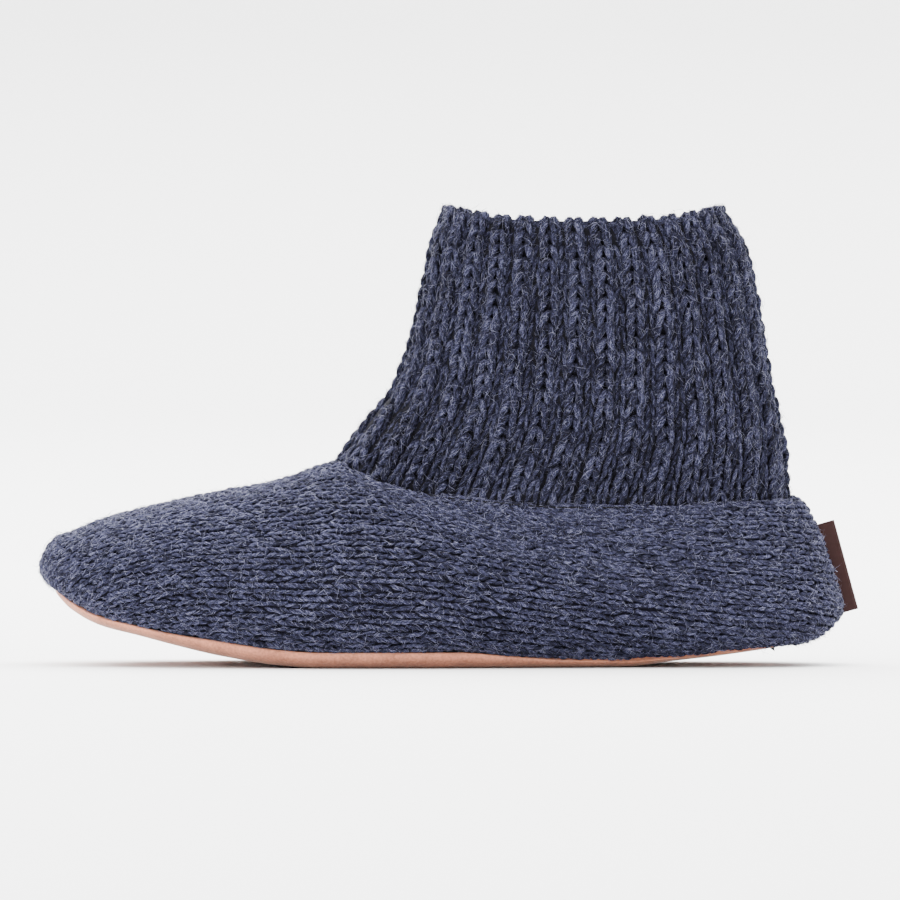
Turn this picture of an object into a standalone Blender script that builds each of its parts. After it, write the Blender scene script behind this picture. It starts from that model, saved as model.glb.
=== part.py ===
"""Slipper sock: a knitted foot with a ribbed ankle cuff on a turned-up suede sole.

One left slipper in metres, +Z up, toe toward -X and outer side toward -Y.
The origin is on the floor under the middle of the heel's flat spot.
"""

import math

import bmesh
import bpy
import numpy as np
from mathutils import Vector

# Foot sizes
FOOT_LENGTH = 0.280         # knitted foot, toe tip to back of heel
BALL_WIDTH = 0.100          # widest place of the knitted forefoot
HEEL_WIDTH = 0.074          # widest place of the knitted heel
INSTEP_HEIGHT = 0.0719      # floor to the front of the collar
HEEL_HEIGHT = 0.0587        # floor to the back of the collar
UPPER_WALL = 0.0025         # knitted wall of the foot

# Sole sizes
TOE_SPRING = 0.0245         # lift of the sole's tip
HEEL_LIFT = 0.0080          # lift of the sole's back end
ARCH_LIFT = 0.0015          # lift of the sole's inner waist
SOLE_EDGE = 0.0056          # height of the turned-up edge at the waist
SOLE_ROUND = 0.0080         # width of the rounding under that edge
SOLE_WALL = 0.0020          # suede
SEAM_TUCK = 0.0050          # sole seam inside the widest outline, at the toe
HEEL_TUCK = 0.0150          # the same at the back of the heel
INSOLE_INSET = 0.0090       # edge of the insole inside the sole seam
INSOLE_WALL = 0.0040        # foam

# Collar and cuff sizes
COLLAR_LENGTH = 0.158       # collar seam, front to back
COLLAR_WIDTH = 0.064        # collar seam, side to side
HEEL_LEDGE = 0.0190         # back of the collar in front of the back of the heel
RIM_HEIGHT = 0.1572         # floor to the centre of the rim's fold, front and back
RIM_DIP = 0.0058            # how much lower the rim is at its sides
RIM_SET_FRONT = 0.0360      # front of the rim behind the front of the collar
RIM_SET_BACK = 0.0217       # back of the rim in front of the back of the collar
RIM_WIDTH = 0.062           # rim, side to side
CUFF_BULGE = 0.0035         # how far the cuff's sides stand out at half height
CUFF_WALL = 0.0040          # doubled rib in the valleys
RIB_DEPTH = 0.0018          # height of a rib over the valleys
RIB_COUNT = 30              # ribs around the cuff

# Heel tag sizes
TAG_HEIGHT = 0.0320         # ribbon width
TAG_LOW = 0.0178            # floor to the lower end of the tag
TAG_REACH = 0.0060          # how far the loop stands out from the heel
TAG_RIBBON = 0.0006         # ribbon thickness
TAG_GAP = 0.0006            # space inside the loop

SEAM_GAP = 0.0003           # space between touching pieces
COLLAR_GAP = 0.0005         # space between the ribs and the knit's edge at the collar
HEEL_SPOT = 0.68            # origin, as a share of the foot length from the toe

# Outline of the foot from above: each row is a share of the foot length from the toe.
# outer and inner are shares of half the governing width, which turns from the ball
# width to the heel width as heel goes from 0 to 1. swing is the shift of the middle
# line toward the inner side, as a share of the ball width. tuck goes from the toe's
# tuck at 0 to the heel's at 1.
OUTLINE = {
    "columns": ("at", "outer", "inner", "heel", "swing", "tuck"),
    "rows": (
        (0.00, 0.00, 0.00, 0.00, 0.068, 0.00),
        (0.01, 0.26, 0.26, 0.00, 0.068, 0.00),
        (0.03, 0.43, 0.42, 0.00, 0.066, 0.00),
        (0.06, 0.57, 0.55, 0.00, 0.061, 0.00),
        (0.10, 0.68, 0.67, 0.00, 0.054, 0.00),
        (0.15, 0.77, 0.78, 0.00, 0.043, 0.00),
        (0.22, 0.86, 0.89, 0.00, 0.028, 0.00),
        (0.30, 0.94, 0.95, 0.00, 0.012, 0.00),
        (0.38, 0.98, 0.94, 0.00, 0.000, 0.02),
        (0.46, 0.96, 0.87, 0.00, -0.005, 0.05),
        (0.55, 0.99, 0.88, 0.35, -0.008, 0.10),
        (0.65, 1.01, 0.91, 0.70, -0.006, 0.20),
        (0.75, 1.03, 0.97, 1.00, -0.002, 0.34),
        (0.85, 0.97, 0.95, 1.00, 0.000, 0.58),
        (0.92, 0.85, 0.85, 1.00, 0.000, 0.80),
        (0.97, 0.60, 0.60, 1.00, 0.000, 0.95),
        (1.00, 0.00, 0.00, 1.00, 0.000, 1.00),
    ),
}

# Underside of the sole from the side: spring, lift and arch are shares of the toe
# spring, the heel lift and the arch lift, and edge is a share of the sole edge.
UNDERSIDE = {
    "columns": ("at", "spring", "lift", "arch", "edge"),
    "rows": (
        (0.018, 1.00, 0.00, 0.00, 0.39),
        (0.039, 0.79, 0.00, 0.00, 0.56),
        (0.077, 0.57, 0.00, 0.00, 0.61),
        (0.127, 0.43, 0.00, 0.00, 0.62),
        (0.178, 0.285, 0.00, 0.00, 0.76),
        (0.229, 0.156, 0.00, 0.00, 0.96),
        (0.304, 0.031, 0.00, 0.00, 1.00),
        (0.350, 0.00, 0.00, 0.00, 1.00),
        (0.430, 0.00, 0.00, 0.00, 1.00),
        (0.520, 0.00, 0.00, 1.00, 1.00),
        (0.580, 0.00, 0.00, 0.80, 0.76),
        (0.650, 0.00, 0.00, 0.00, 0.52),
        (0.720, 0.00, 0.00, 0.00, 0.44),
        (0.773, 0.00, 0.20, 0.00, 0.30),
        (0.836, 0.00, 0.44, 0.00, 0.20),
        (0.900, 0.00, 0.74, 0.00, 0.16),
        (0.945, 0.00, 1.00, 0.00, 0.14),
    ),
}

# Height of the widest line over the underside, as a share of the instep height.
WIDEST = {
    "columns": ("at", "height"),
    "rows": (
        (0.00, 0.121),
        (0.03, 0.148),
        (0.08, 0.205),
        (0.15, 0.243),
        (0.25, 0.286),
        (0.37, 0.313),
        (0.50, 0.307),
        (0.70, 0.280),
        (0.85, 0.225),
        (0.95, 0.180),
        (1.00, 0.180),
    ),
}

# Height of the ridge over the underside, as a share of the instep height. Each row
# is a share of the way from the toe tip to the front of the collar. reach, rise and
# lean set a section's curve above the widest line: the handle at the top, the handle
# at the widest line and its inward lean, as shares of the section's width and height.
RIDGE = {
    "columns": ("at", "height", "reach", "rise", "lean", "fall"),
    "rows": (
        (0.000, 0.121, 0.55, 0.55, 0.00, 0.00),
        (0.035, 0.242, 0.55, 0.55, 0.00, 0.00),
        (0.105, 0.366, 0.55, 0.55, 0.00, 0.00),
        (0.208, 0.502, 0.55, 0.55, 0.00, 0.00),
        (0.345, 0.606, 0.55, 0.55, 0.00, 0.00),
        (0.484, 0.709, 0.55, 0.55, 0.00, 0.00),
        (0.622, 0.794, 0.55, 0.55, 0.00, 0.00),
        (0.761, 0.865, 0.52, 0.55, 0.00, 0.00),
        (0.861, 0.919, 0.45, 0.55, 0.00, 0.00),
        (0.932, 0.965, 0.35, 0.55, 0.00, 0.00),
        (1.000, 1.000, 0.25, 0.55, 0.00, 0.00),
    ),
}

# Height of the collar seam, front to back: the sum of a share of the instep height
# and a share of the heel height. fall is the slope at which the knit leaves the seam.
COLLAR = {
    "columns": ("at", "instep", "heel", "reach", "rise", "lean", "fall"),
    "rows": (
        (0.00, 1.00, 0.000, 0.25, 0.55, 0.00, 0.00),
        (0.02, 0.88, 0.117, 0.28, 0.55, 0.00, 0.22),
        (0.10, 0.50, 0.485, 0.36, 0.55, 0.00, 0.48),
        (0.235, 0.20, 0.768, 0.42, 0.52, 0.03, 0.62),
        (0.37, 0.05, 0.916, 0.44, 0.47, 0.08, 0.55),
        (0.50, 0.00, 0.954, 0.42, 0.42, 0.12, 0.40),
        (0.72, 0.00, 0.954, 0.40, 0.36, 0.18, 0.05),
        (0.85, 0.00, 0.965, 0.40, 0.35, 0.20, -0.20),
        (0.94, 0.00, 0.977, 0.40, 0.35, 0.20, -0.32),
        (1.00, 0.00, 1.000, 0.40, 0.35, 0.20, -0.32),
    ),
}

# Cuff from collar to rim: front and back are shares of the rim's set at each end,
# width goes from the collar's width to the rim's, and bulge is a share of the bulge.
CUFF = {
    "columns": ("at", "front", "back", "width", "bulge"),
    "rows": (
        (0.00, 0.00, 0.00, 0.00, 0.00),
        (0.15, 0.26, 0.03, 0.05, 0.60),
        (0.28, 0.50, 0.14, 0.14, 0.93),
        (0.45, 0.66, 0.30, 0.30, 1.00),
        (0.60, 0.75, 0.41, 0.45, 0.90),
        (0.75, 0.83, 0.53, 0.60, 0.65),
        (0.90, 0.90, 0.70, 0.80, 0.30),
        (1.00, 1.00, 1.00, 1.00, 0.00),
    ),
}

# Mesh steps
TOE_STEPS = 13              # sections from the toe tip to the front of the collar
REAR_STEPS = 22             # sections from there round to the back of the heel
LOWER_STEPS = 3             # rows from the sole seam to the widest line
UPPER_STEPS = 7             # rows from the widest line to the top
SOLE_ACROSS = (0.0, 0.35, 0.65, 0.82, 0.90, 0.95, 0.985, 1.0)   # from the middle out
INSOLE_ACROSS = (0.0, 0.35, 0.7, 1.0)
RIB_STEPS = 4               # points around one rib
CUFF_OUTSIDE = (0.0, 0.06, 0.18, 0.30, 0.42, 0.56, 0.70, 0.83, 0.93, 1.0)   # rises
CUFF_INSIDE = (1.0, 0.75, 0.5, 0.25, 0.0)
FOLD_STEPS = 6              # steps over the rim's fold

# Section curves below the widest line: shares of the section's own width and height
SEAM_HANDLE_SHARE = 0.50    # length of the handle at the sole seam
SEAM_RISE_SHARE = 0.25      # how steeply a narrow tuck leaves the seam
RIB_START_SHARE = 0.5       # relief of the ribs at the collar
RIB_FADE_SHARE = 0.1        # rise at which the ribs have their full relief
RIM_CORNER = 3              # power that keeps the rim's sides level up to its corners

THROAT_SHARE = 1.0 - (COLLAR_LENGTH + HEEL_LEDGE) / FOOT_LENGTH
ALL_STEPS = TOE_STEPS + REAR_STEPS
WIDE_ROW = LOWER_STEPS
TOP_ROW = LOWER_STEPS + UPPER_STEPS
SMALL_STEP = 0.001          # step for the outline's direction, in sections
RING_SAMPLES = 1440         # samples that measure the way round the cuff
SEAT_ROUNDS = 8             # rounds that bring the tag's edge onto the heel
BEND_SHARE = math.sqrt(0.5)

COLOURS = {
    "navy_wool": ((0.030, 0.040, 0.085, 1.0), 0.95),
    "navy_rib": ((0.028, 0.037, 0.080, 1.0), 0.95),
    "tan_suede": ((0.585, 0.325, 0.205, 1.0), 0.90),
    "grey_felt": ((0.120, 0.125, 0.150, 1.0), 0.95),
    "brown_ribbon": ((0.095, 0.045, 0.038, 1.0), 0.70),
}


def plain(share):
    """Abscissa of a table whose ends are not blunt."""
    return share


def blunt_toe(share):
    """Abscissa that makes a curve blunt at its start."""
    return math.sqrt(max(share, 0.0))


def blunt_ends(share):
    """Abscissa that makes a curve blunt at both ends."""
    return math.acos(1.0 - 2.0 * min(max(share, 0.0), 1.0))


def read(table, name, share, abscissa=plain):
    """Column of a table at a share, on a smooth curve that never overshoots its rows."""
    column = table["columns"].index(name)
    places = [abscissa(row[0]) for row in table["rows"]]
    values = [row[column] for row in table["rows"]]
    here = min(max(abscissa(share), places[0]), places[-1])
    steps = np.diff(places)
    rises = np.diff(values) / steps
    slopes = [rises[0]]
    for before, after in zip(rises[:-1], rises[1:]):
        mean = 0.0
        if before * after > 0.0:
            mean = 2.0 * before * after / (before + after)
        slopes.append(mean)
    slopes.append(rises[-1])
    cell = min(int(np.searchsorted(places, here, side="right")) - 1, len(steps) - 1)
    part = (here - places[cell]) / steps[cell]
    bend = part * part * (3.0 - 2.0 * part)
    start = slopes[cell] * steps[cell] * part * (1.0 - part) ** 2
    end = slopes[cell + 1] * steps[cell] * part * part * (part - 1.0)
    return values[cell] * (1.0 - bend) + values[cell + 1] * bend + start + end


def along(share):
    """X of a share of the foot length."""
    return (share - HEEL_SPOT) * FOOT_LENGTH


def share_of(x):
    """Share of the foot length at an X."""
    return x / FOOT_LENGTH + HEEL_SPOT


def middle(share):
    """Y of the middle line."""
    return read(OUTLINE, "swing", share) * BALL_WIDTH


def half_width(share, side):
    """Half width of the foot on one side, +1 inner and -1 outer."""
    heel = read(OUTLINE, "heel", share)
    governing = BALL_WIDTH * (1.0 - heel) + HEEL_WIDTH * heel
    name = "inner" if side > 0 else "outer"
    return read(OUTLINE, name, share, blunt_ends) * governing / 2.0


def floor_height(x, y):
    """Height of the sole's underside at a place of the plan, edge rounding apart."""
    share = share_of(x)
    spring = read(UNDERSIDE, "spring", share) * TOE_SPRING
    lift = read(UNDERSIDE, "lift", share) * HEEL_LIFT
    across = (y - middle(share)) / (BALL_WIDTH / 2.0)
    inner = min(max(across, 0.0), 1.0)
    arch = read(UNDERSIDE, "arch", share) * ARCH_LIFT * inner * inner
    return spring + lift + arch


def section_place(number):
    """Share of the outline, and angle round the collar, of a section's number."""
    if number <= TOE_STEPS:
        turn = number / TOE_STEPS
        return THROAT_SHARE * (1.0 - math.cos(turn * math.pi / 2.0)), 0.0
    angle = math.pi * (number - TOE_STEPS) / REAR_STEPS
    travel = (math.sin(angle / 2.0) + (1.0 - math.cos(angle)) / 2.0) / 2.0
    return THROAT_SHARE + (1.0 - THROAT_SHARE) * travel, angle


def outline_point(number, side):
    """Widest point of a section from above."""
    share = section_place(number)[0]
    return Vector((along(share), middle(share) + side * half_width(share, side)))


def inward(number, side):
    """Direction from the outline to the inside of the foot, from above."""
    before = outline_point(max(number - SMALL_STEP, 0.0), side)
    after = outline_point(min(number + SMALL_STEP, ALL_STEPS), side)
    run = (after - before).normalized()
    return Vector((run.y, -run.x)) * side


def seam_plan(number, side, inset=0.0):
    """Point of the sole seam from above, or of a line further in by the inset."""
    share = section_place(number)[0]
    tuck = SEAM_TUCK + (HEEL_TUCK - SEAM_TUCK) * read(OUTLINE, "tuck", share)
    return outline_point(number, side) + inward(number, side) * (tuck + inset)


def seam_point(number, side):
    """Point of the sole seam."""
    plan = seam_plan(number, side)
    edge = read(UNDERSIDE, "edge", share_of(plan.x)) * SOLE_EDGE
    return Vector((plan.x, plan.y, floor_height(plan.x, plan.y) + edge))


def wide_point(number, side):
    """Widest point of a section."""
    share = section_place(number)[0]
    plan = outline_point(number, side)
    rise = read(WIDEST, "height", share) * INSTEP_HEIGHT
    return Vector((plan.x, plan.y, floor_height(plan.x, middle(share)) + rise))


def collar_height(share):
    """Height of the collar seam at a share of its length."""
    front = INSTEP_HEIGHT + floor_height(along(THROAT_SHARE), middle(THROAT_SHARE))
    return read(COLLAR, "instep", share) * front + read(COLLAR, "heel", share) * HEEL_HEIGHT


def collar_point(angle, side):
    """Point of the collar seam at an angle from its front."""
    share = (1.0 - math.cos(angle)) / 2.0
    x = along(THROAT_SHARE) + share * COLLAR_LENGTH
    return Vector((x, side * math.sin(angle) * COLLAR_WIDTH / 2.0, collar_height(share)))


def top_point(number, side):
    """Top of a section: on the ridge over the toes, on the collar seam behind."""
    share, angle = section_place(number)
    if number > TOE_STEPS:
        return collar_point(angle, side)
    rise = read(RIDGE, "height", share / THROAT_SHARE, blunt_toe) * INSTEP_HEIGHT
    return Vector((along(share), middle(share), floor_height(along(share), middle(share)) + rise))


def top_handles(number):
    """Reach, rise, lean and fall of a section above its widest line."""
    share, angle = section_place(number)
    table, place = RIDGE, share / THROAT_SHARE
    if number > TOE_STEPS:
        table, place = COLLAR, (1.0 - math.cos(angle)) / 2.0
    return [read(table, name, place) for name in ("reach", "rise", "lean", "fall")]


def bezier(points, part):
    """Point of a cubic curve with four control points."""
    rest = 1.0 - part
    return (points[0] * rest ** 3 + points[1] * 3.0 * rest * rest * part
            + points[2] * 3.0 * rest * part * part + points[3] * part ** 3)


def section(number, side):
    """Outer line of one section, from the sole seam over the widest line to the top."""
    low = seam_point(number, side)
    wide = wide_point(number, side)
    top = top_point(number, side)
    up = Vector((0.0, 0.0, 1.0))
    out = Vector((wide.x - low.x, wide.y - low.y, 0.0))
    height = wide.z - low.z
    steep = max(0.0, height - out.length) * SEAM_RISE_SHARE
    lower = (low, low + out * SEAM_HANDLE_SHARE + up * steep,
             wide - up * height * SEAM_HANDLE_SHARE, wide)

    over = Vector((wide.x - top.x, wide.y - top.y, 0.0))
    reach, rise, lean, fall = top_handles(number)
    upper = (wide, wide - over * lean + up * (top.z - wide.z) * rise,
             top + over * reach - up * fall * over.length * reach, top)

    line = [bezier(lower, step / LOWER_STEPS) for step in range(LOWER_STEPS)]
    line += [bezier(upper, step / UPPER_STEPS) for step in range(UPPER_STEPS + 1)]
    return line


def material(name):
    """Principled material of one of the object's finishes."""
    colour, roughness = COLOURS[name]
    finish = bpy.data.materials.new(name)
    finish.use_nodes = True
    shader = finish.node_tree.nodes["Principled BSDF"]
    shader.inputs["Base Color"].default_value = colour
    shader.inputs["Roughness"].default_value = roughness
    shader.inputs["Metallic"].default_value = 0.0
    finish.diffuse_color = colour
    return finish


def add_object(name, mesh, finish, parent):
    """Shaded object from a bmesh whose faces are turned the right way."""
    data = bpy.data.meshes.new(name)
    mesh.to_mesh(data)
    mesh.free()
    data.materials.append(material(finish))
    data.shade_smooth()
    item = bpy.data.objects.new(name, data)
    bpy.context.scene.collection.objects.link(item)
    item.parent = parent
    return item


def add_wall(item, thickness, outward):
    """Give an open sheet its wall, inward or outward of its faces."""
    wall = item.modifiers.new("wall", "SOLIDIFY")
    wall.thickness = thickness
    wall.offset = 1.0 if outward else -1.0
    wall.use_rim = True
    return wall


def face_outward(mesh, outside):
    """Turn all faces of a sheet so that the one nearest the outside point faces it."""
    mesh.faces.ensure_lookup_table()
    bmesh.ops.recalc_face_normals(mesh, faces=mesh.faces[:])
    mesh.normal_update()
    nearest = min(mesh.faces, key=lambda face: (face.calc_center_median() - outside).length)
    if nearest.normal.dot(outside - nearest.calc_center_median()) < 0.0:
        bmesh.ops.reverse_faces(mesh, faces=mesh.faces[:])


def make_upper(parent):
    """Knitted foot: a sheet of sections on both sides, with its wall inward."""
    mesh = bmesh.new()
    sheet = {}
    for side in (-1, 1):
        for number in range(ALL_STEPS + 1):
            line = section(number, side)
            for row, point in enumerate(line):
                shared = number in (0, ALL_STEPS) or (row == TOP_ROW and number <= TOE_STEPS)
                key = (0 if shared else side, number, row)
                if number == 0 and row > WIDE_ROW:
                    key = (0, 0, WIDE_ROW)
                if key not in sheet:
                    sheet[key] = mesh.verts.new(point)
                sheet[(side, number, row)] = sheet[key]
    for side in (-1, 1):
        for number in range(ALL_STEPS):
            for row in range(TOP_ROW):
                corners = [sheet[(side, number, row)], sheet[(side, number + 1, row)],
                           sheet[(side, number + 1, row + 1)], sheet[(side, number, row + 1)]]
                face = list(dict.fromkeys(corners))
                if len(face) > 2:
                    mesh.faces.new(face[::side])
    face_outward(mesh, Vector((along(-1.0), 0.0, 0.0)))
    item = add_object("upper", mesh, "navy_wool", parent)
    add_wall(item, UPPER_WALL, False)
    return item


def sole_grid(across, inset, first, last, edge):
    """Sheet between the outer and inner seam lines, a row for each section."""
    mesh = bmesh.new()
    places = [-share for share in reversed(across)] + list(across[1:])
    rows = []
    for number in range(first, last + 1):
        outer = seam_plan(number, -1, inset)
        inner = seam_plan(number, 1, inset)
        half = (inner - outer).length / 2.0
        row = []
        for place in places:
            plan = outer.lerp(inner, (place + 1.0) / 2.0)
            height = floor_height(plan.x, plan.y)
            if edge:
                rim = read(UNDERSIDE, "edge", share_of(plan.x)) * SOLE_EDGE - SEAM_GAP
                near = max(0.0, 1.0 - half * (1.0 - abs(place)) / SOLE_ROUND)
                height += rim * (1.0 - math.sqrt(1.0 - near * near))
            row.append(Vector((plan.x, plan.y, height)))
        rows.append(row)
    verts = []
    for row in rows:
        if (row[0] - row[-1]).length < SEAM_GAP:
            verts.append([mesh.verts.new(row[0])] * len(row))
        else:
            verts.append([mesh.verts.new(point) for point in row])
    for before, after in zip(verts[:-1], verts[1:]):
        for step in range(len(places) - 1):
            corners = [before[step], before[step + 1], after[step + 1], after[step]]
            face = list(dict.fromkeys(corners))
            if len(face) > 2:
                mesh.faces.new(face)
    return mesh


def make_sole(parent):
    """Suede sole: a dish with a turned-up edge, its wall above the underside."""
    mesh = sole_grid(SOLE_ACROSS, 0.0, 0, ALL_STEPS, True)
    face_outward(mesh, Vector((0.0, 0.0, -FOOT_LENGTH)))
    item = add_object("sole", mesh, "tan_suede", parent)
    add_wall(item, SOLE_WALL, False)
    return item


def make_insole(parent):
    """Foam insole: the sole's underside raised over the suede, with its own wall."""
    mesh = sole_grid(INSOLE_ACROSS, INSOLE_INSET, 0, ALL_STEPS, False)
    face_outward(mesh, Vector((0.0, 0.0, FOOT_LENGTH)))
    item = add_object("insole", mesh, "grey_felt", parent)
    lift = item.modifiers.new("lift", "DISPLACE")
    lift.direction = "NORMAL"
    lift.mid_level = 0.0
    lift.strength = SOLE_WALL + SEAM_GAP
    add_wall(item, INSOLE_WALL, True)
    return item


def ring(rise):
    """Points on the ribs' outer outline at a rise, evenly spaced: plan, normal, angle."""
    front = along(THROAT_SHARE) + COLLAR_GAP + read(CUFF, "front", rise) * RIM_SET_FRONT
    back = along(THROAT_SHARE) + COLLAR_LENGTH - COLLAR_GAP
    back -= read(CUFF, "back", rise) * RIM_SET_BACK
    part = read(CUFF, "width", rise)
    width = (COLLAR_WIDTH - 2.0 * COLLAR_GAP) * (1.0 - part) + RIM_WIDTH * part
    width += 2.0 * read(CUFF, "bulge", rise) * CUFF_BULGE
    long_half = (back - front) / 2.0
    wide_half = width / 2.0
    angles = np.linspace(0.0, 2.0 * math.pi, RING_SAMPLES + 1)
    steps = np.hypot(np.diff(long_half * np.cos(angles)), np.diff(wide_half * np.sin(angles)))
    travelled = np.concatenate(([0.0], np.cumsum(steps)))
    stops = np.linspace(0.0, travelled[-1], RIB_COUNT * RIB_STEPS + 1)[:-1]
    points = []
    for angle in np.interp(stops, travelled, angles):
        plan = Vector(((front + back) / 2.0 - long_half * math.cos(angle),
                       -wide_half * math.sin(angle)))
        normal = Vector((-math.cos(angle) * wide_half, -math.sin(angle) * long_half)).normalized()
        points.append((plan, normal, float(angle)))
    return points


def rib_valley(step, rise):
    """Depth of the rib relief at a step round the cuff."""
    fade = RIB_START_SHARE + (1.0 - RIB_START_SHARE) * min(rise / RIB_FADE_SHARE, 1.0)
    turn = 2.0 * math.pi * step / RIB_STEPS
    return RIB_DEPTH * fade * (1.0 - math.cos(turn)) / 2.0


def cuff_height(angle, rise):
    """Height on the cuff at an angle from the front and a rise."""
    base = collar_height((1.0 - math.cos(angle)) / 2.0) + COLLAR_GAP
    rim = RIM_HEIGHT - RIM_DIP * (1.0 - abs(math.cos(angle)) ** RIM_CORNER)
    return base + (rim - base) * rise


def make_cuff(parent):
    """Ribbed cuff: outer wall, fold at the rim and inner wall, closed at the collar."""
    mesh = bmesh.new()
    loops = []

    def add_loop(rise, place):
        loop = []
        for step, (plan, normal, angle) in enumerate(ring(rise)):
            offset, lift = place(step)
            point = plan + normal * offset
            loop.append(mesh.verts.new((point.x, point.y, cuff_height(angle, rise) + lift)))
        loops.append(loop)

    for rise in CUFF_OUTSIDE:
        add_loop(rise, lambda step, rise=rise: (-rib_valley(step, rise), 0.0))
    middle_layer = RIB_DEPTH + CUFF_WALL / 2.0
    for fold in range(1, FOLD_STEPS):
        turn = math.pi * fold / FOLD_STEPS
        part = fold / FOLD_STEPS

        def over(step, turn=turn, part=part):
            relief = (RIB_DEPTH - rib_valley(step, 1.0)) * (1.0 - part)
            radius = CUFF_WALL / 2.0 + relief
            return radius * math.cos(turn) - middle_layer, radius * math.sin(turn)

        add_loop(1.0, over)
    for rise in CUFF_INSIDE:
        add_loop(rise, lambda step: (-RIB_DEPTH - CUFF_WALL, 0.0))

    for before, after in zip(loops, loops[1:] + loops[:1]):
        count = len(before)
        for step in range(count):
            ahead = (step + 1) % count
            mesh.faces.new((before[step], before[ahead], after[ahead], after[step]))
    bmesh.ops.recalc_face_normals(mesh, faces=mesh.faces[:])
    return add_object("cuff", mesh, "navy_rib", parent)


def heel_line():
    """Corners of the heel's back line, from below up to its ledge, as X and height."""
    line = section(ALL_STEPS, 1)[1:TOP_ROW]
    return [Vector((point.x, point.z)) for point in line]


def heel_line_at(height):
    """X of the heel's back line at a height."""
    line = heel_line()
    return float(np.interp(height, [point.y for point in line], [point.x for point in line]))


def reach_to_heel(base, out):
    """Distance from a point inside the heel's back line to that line, along a direction."""
    reach = 0.0
    for _ in range(SEAT_ROUNDS):
        reach = (heel_line_at(base.y + out.y * reach) - base.x) / out.x
    return max(reach, 0.0)


def make_heel_tag(parent):
    """Ribbon folded into a flat loop that stands out of the heel's back seam."""
    mesh = bmesh.new()
    low = Vector((heel_line_at(TAG_LOW), TAG_LOW))
    lean = Vector((heel_line_at(TAG_LOW + TAG_HEIGHT) - low.x, TAG_HEIGHT)).normalized()
    out = Vector((lean.y, -lean.x))
    thick = TAG_GAP / 2.0 + TAG_RIBBON
    corners = [(point - low).dot(lean) for point in heel_line()]
    stops = [0.0] + [stop for stop in corners if 0.0 < stop < TAG_HEIGHT] + [TAG_HEIGHT]
    loops = []
    for stop in stops:
        base = low + lean * stop
        start = reach_to_heel(base, out) + SEAM_GAP
        turn = TAG_REACH - thick
        bend = thick * BEND_SHARE
        profile = ((start, thick), (turn, thick), (turn + bend, bend), (turn + thick, 0.0),
                   (turn + bend, -bend), (turn, -thick), (start, -thick),
                   (start, -TAG_GAP / 2.0), (turn, -TAG_GAP / 2.0),
                   (turn + TAG_GAP / 2.0, 0.0), (turn, TAG_GAP / 2.0), (start, TAG_GAP / 2.0))
        loop = []
        for reach, across in profile:
            place = base + out * reach
            loop.append(mesh.verts.new((place.x, across, place.y)))
        loops.append(loop)
    count = len(loops[0])
    for before, after in zip(loops[:-1], loops[1:]):
        for step in range(count):
            ahead = (step + 1) % count
            mesh.faces.new((before[step], before[ahead], after[ahead], after[step]))
    for loop in (loops[0], loops[-1]):
        mesh.faces.new(loop)
    bmesh.ops.recalc_face_normals(mesh, faces=mesh.faces[:])
    return add_object("heel_tag", mesh, "brown_ribbon", parent)


def main():
    """Build the slipper sock."""
    for item in list(bpy.data.objects):
        bpy.data.objects.remove(item)
    parent = bpy.data.objects.new("slipper_sock", None)
    bpy.context.scene.collection.objects.link(parent)
    make_sole(parent)
    make_insole(parent)
    make_upper(parent)
    make_cuff(parent)
    make_heel_tag(parent)


main()
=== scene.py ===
"""Slipper sock: wool knit stitch by stitch, suede sole, felt insole, ribbon and studio.

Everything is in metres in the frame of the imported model: +Z up, toe toward -X,
outer side toward -Y, origin on the floor under the heel.
"""

import math

import bmesh
import bpy
import numpy as np
from bpy.props import FloatProperty, FloatVectorProperty, IntProperty, PointerProperty
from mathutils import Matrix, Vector


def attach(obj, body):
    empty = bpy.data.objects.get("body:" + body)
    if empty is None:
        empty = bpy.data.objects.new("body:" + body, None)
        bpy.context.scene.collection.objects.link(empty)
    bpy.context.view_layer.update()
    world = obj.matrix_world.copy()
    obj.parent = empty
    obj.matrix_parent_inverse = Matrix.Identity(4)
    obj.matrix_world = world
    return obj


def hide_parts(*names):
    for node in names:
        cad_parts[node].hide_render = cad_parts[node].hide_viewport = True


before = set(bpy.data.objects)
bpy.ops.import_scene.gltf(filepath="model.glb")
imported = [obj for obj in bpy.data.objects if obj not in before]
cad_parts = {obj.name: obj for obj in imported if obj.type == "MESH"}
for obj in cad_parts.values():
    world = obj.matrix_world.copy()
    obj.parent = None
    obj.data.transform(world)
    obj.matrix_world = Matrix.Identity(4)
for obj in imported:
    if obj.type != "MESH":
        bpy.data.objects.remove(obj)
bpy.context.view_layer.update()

bl_info = {
    "name": "Slipper sock",
    "version": (1, 0, 0),
    "blender": (4, 5, 0),
    "location": "View3D > Sidebar > Slipper sock",
    "description": "Builds a knitted slipper sock with a suede sole and its studio",
    "category": "Add Mesh",
}

BODY = "root"
MM = 0.001

# Form of the last, in metres; each table below has a heading and rows of shares of these
FOOT_LENGTH = 0.280
BALL_WIDTH = 0.100
HEEL_WIDTH = 0.074
INSTEP_HEIGHT = 0.0719
HEEL_HEIGHT = 0.0587
TOE_SPRING = 0.0245
HEEL_LIFT = 0.0080
ARCH_LIFT = 0.0015
SOLE_EDGE = 0.0056
SOLE_ROUND = 0.0080
SOLE_WALL = 0.0020
SEAM_TUCK = 0.0050
HEEL_TUCK = 0.0150
INSOLE_INSET = 0.0090
INSOLE_WALL = 0.0040
COLLAR_LENGTH = 0.158
COLLAR_WIDTH = 0.064
HEEL_LEDGE = 0.0190
RIM_HEIGHT = 0.1572
RIM_DIP = 0.0058
RIM_SET_FRONT = 0.0360
RIM_SET_BACK = 0.0217
RIM_WIDTH = 0.062
CUFF_BULGE = 0.0035
CUFF_WALL = 0.0058          # ribs included
RIB_COUNT = 30
HEEL_SPOT = 0.68            # share of the length at which the origin lies
SEAM_GAP = 0.0003
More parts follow.
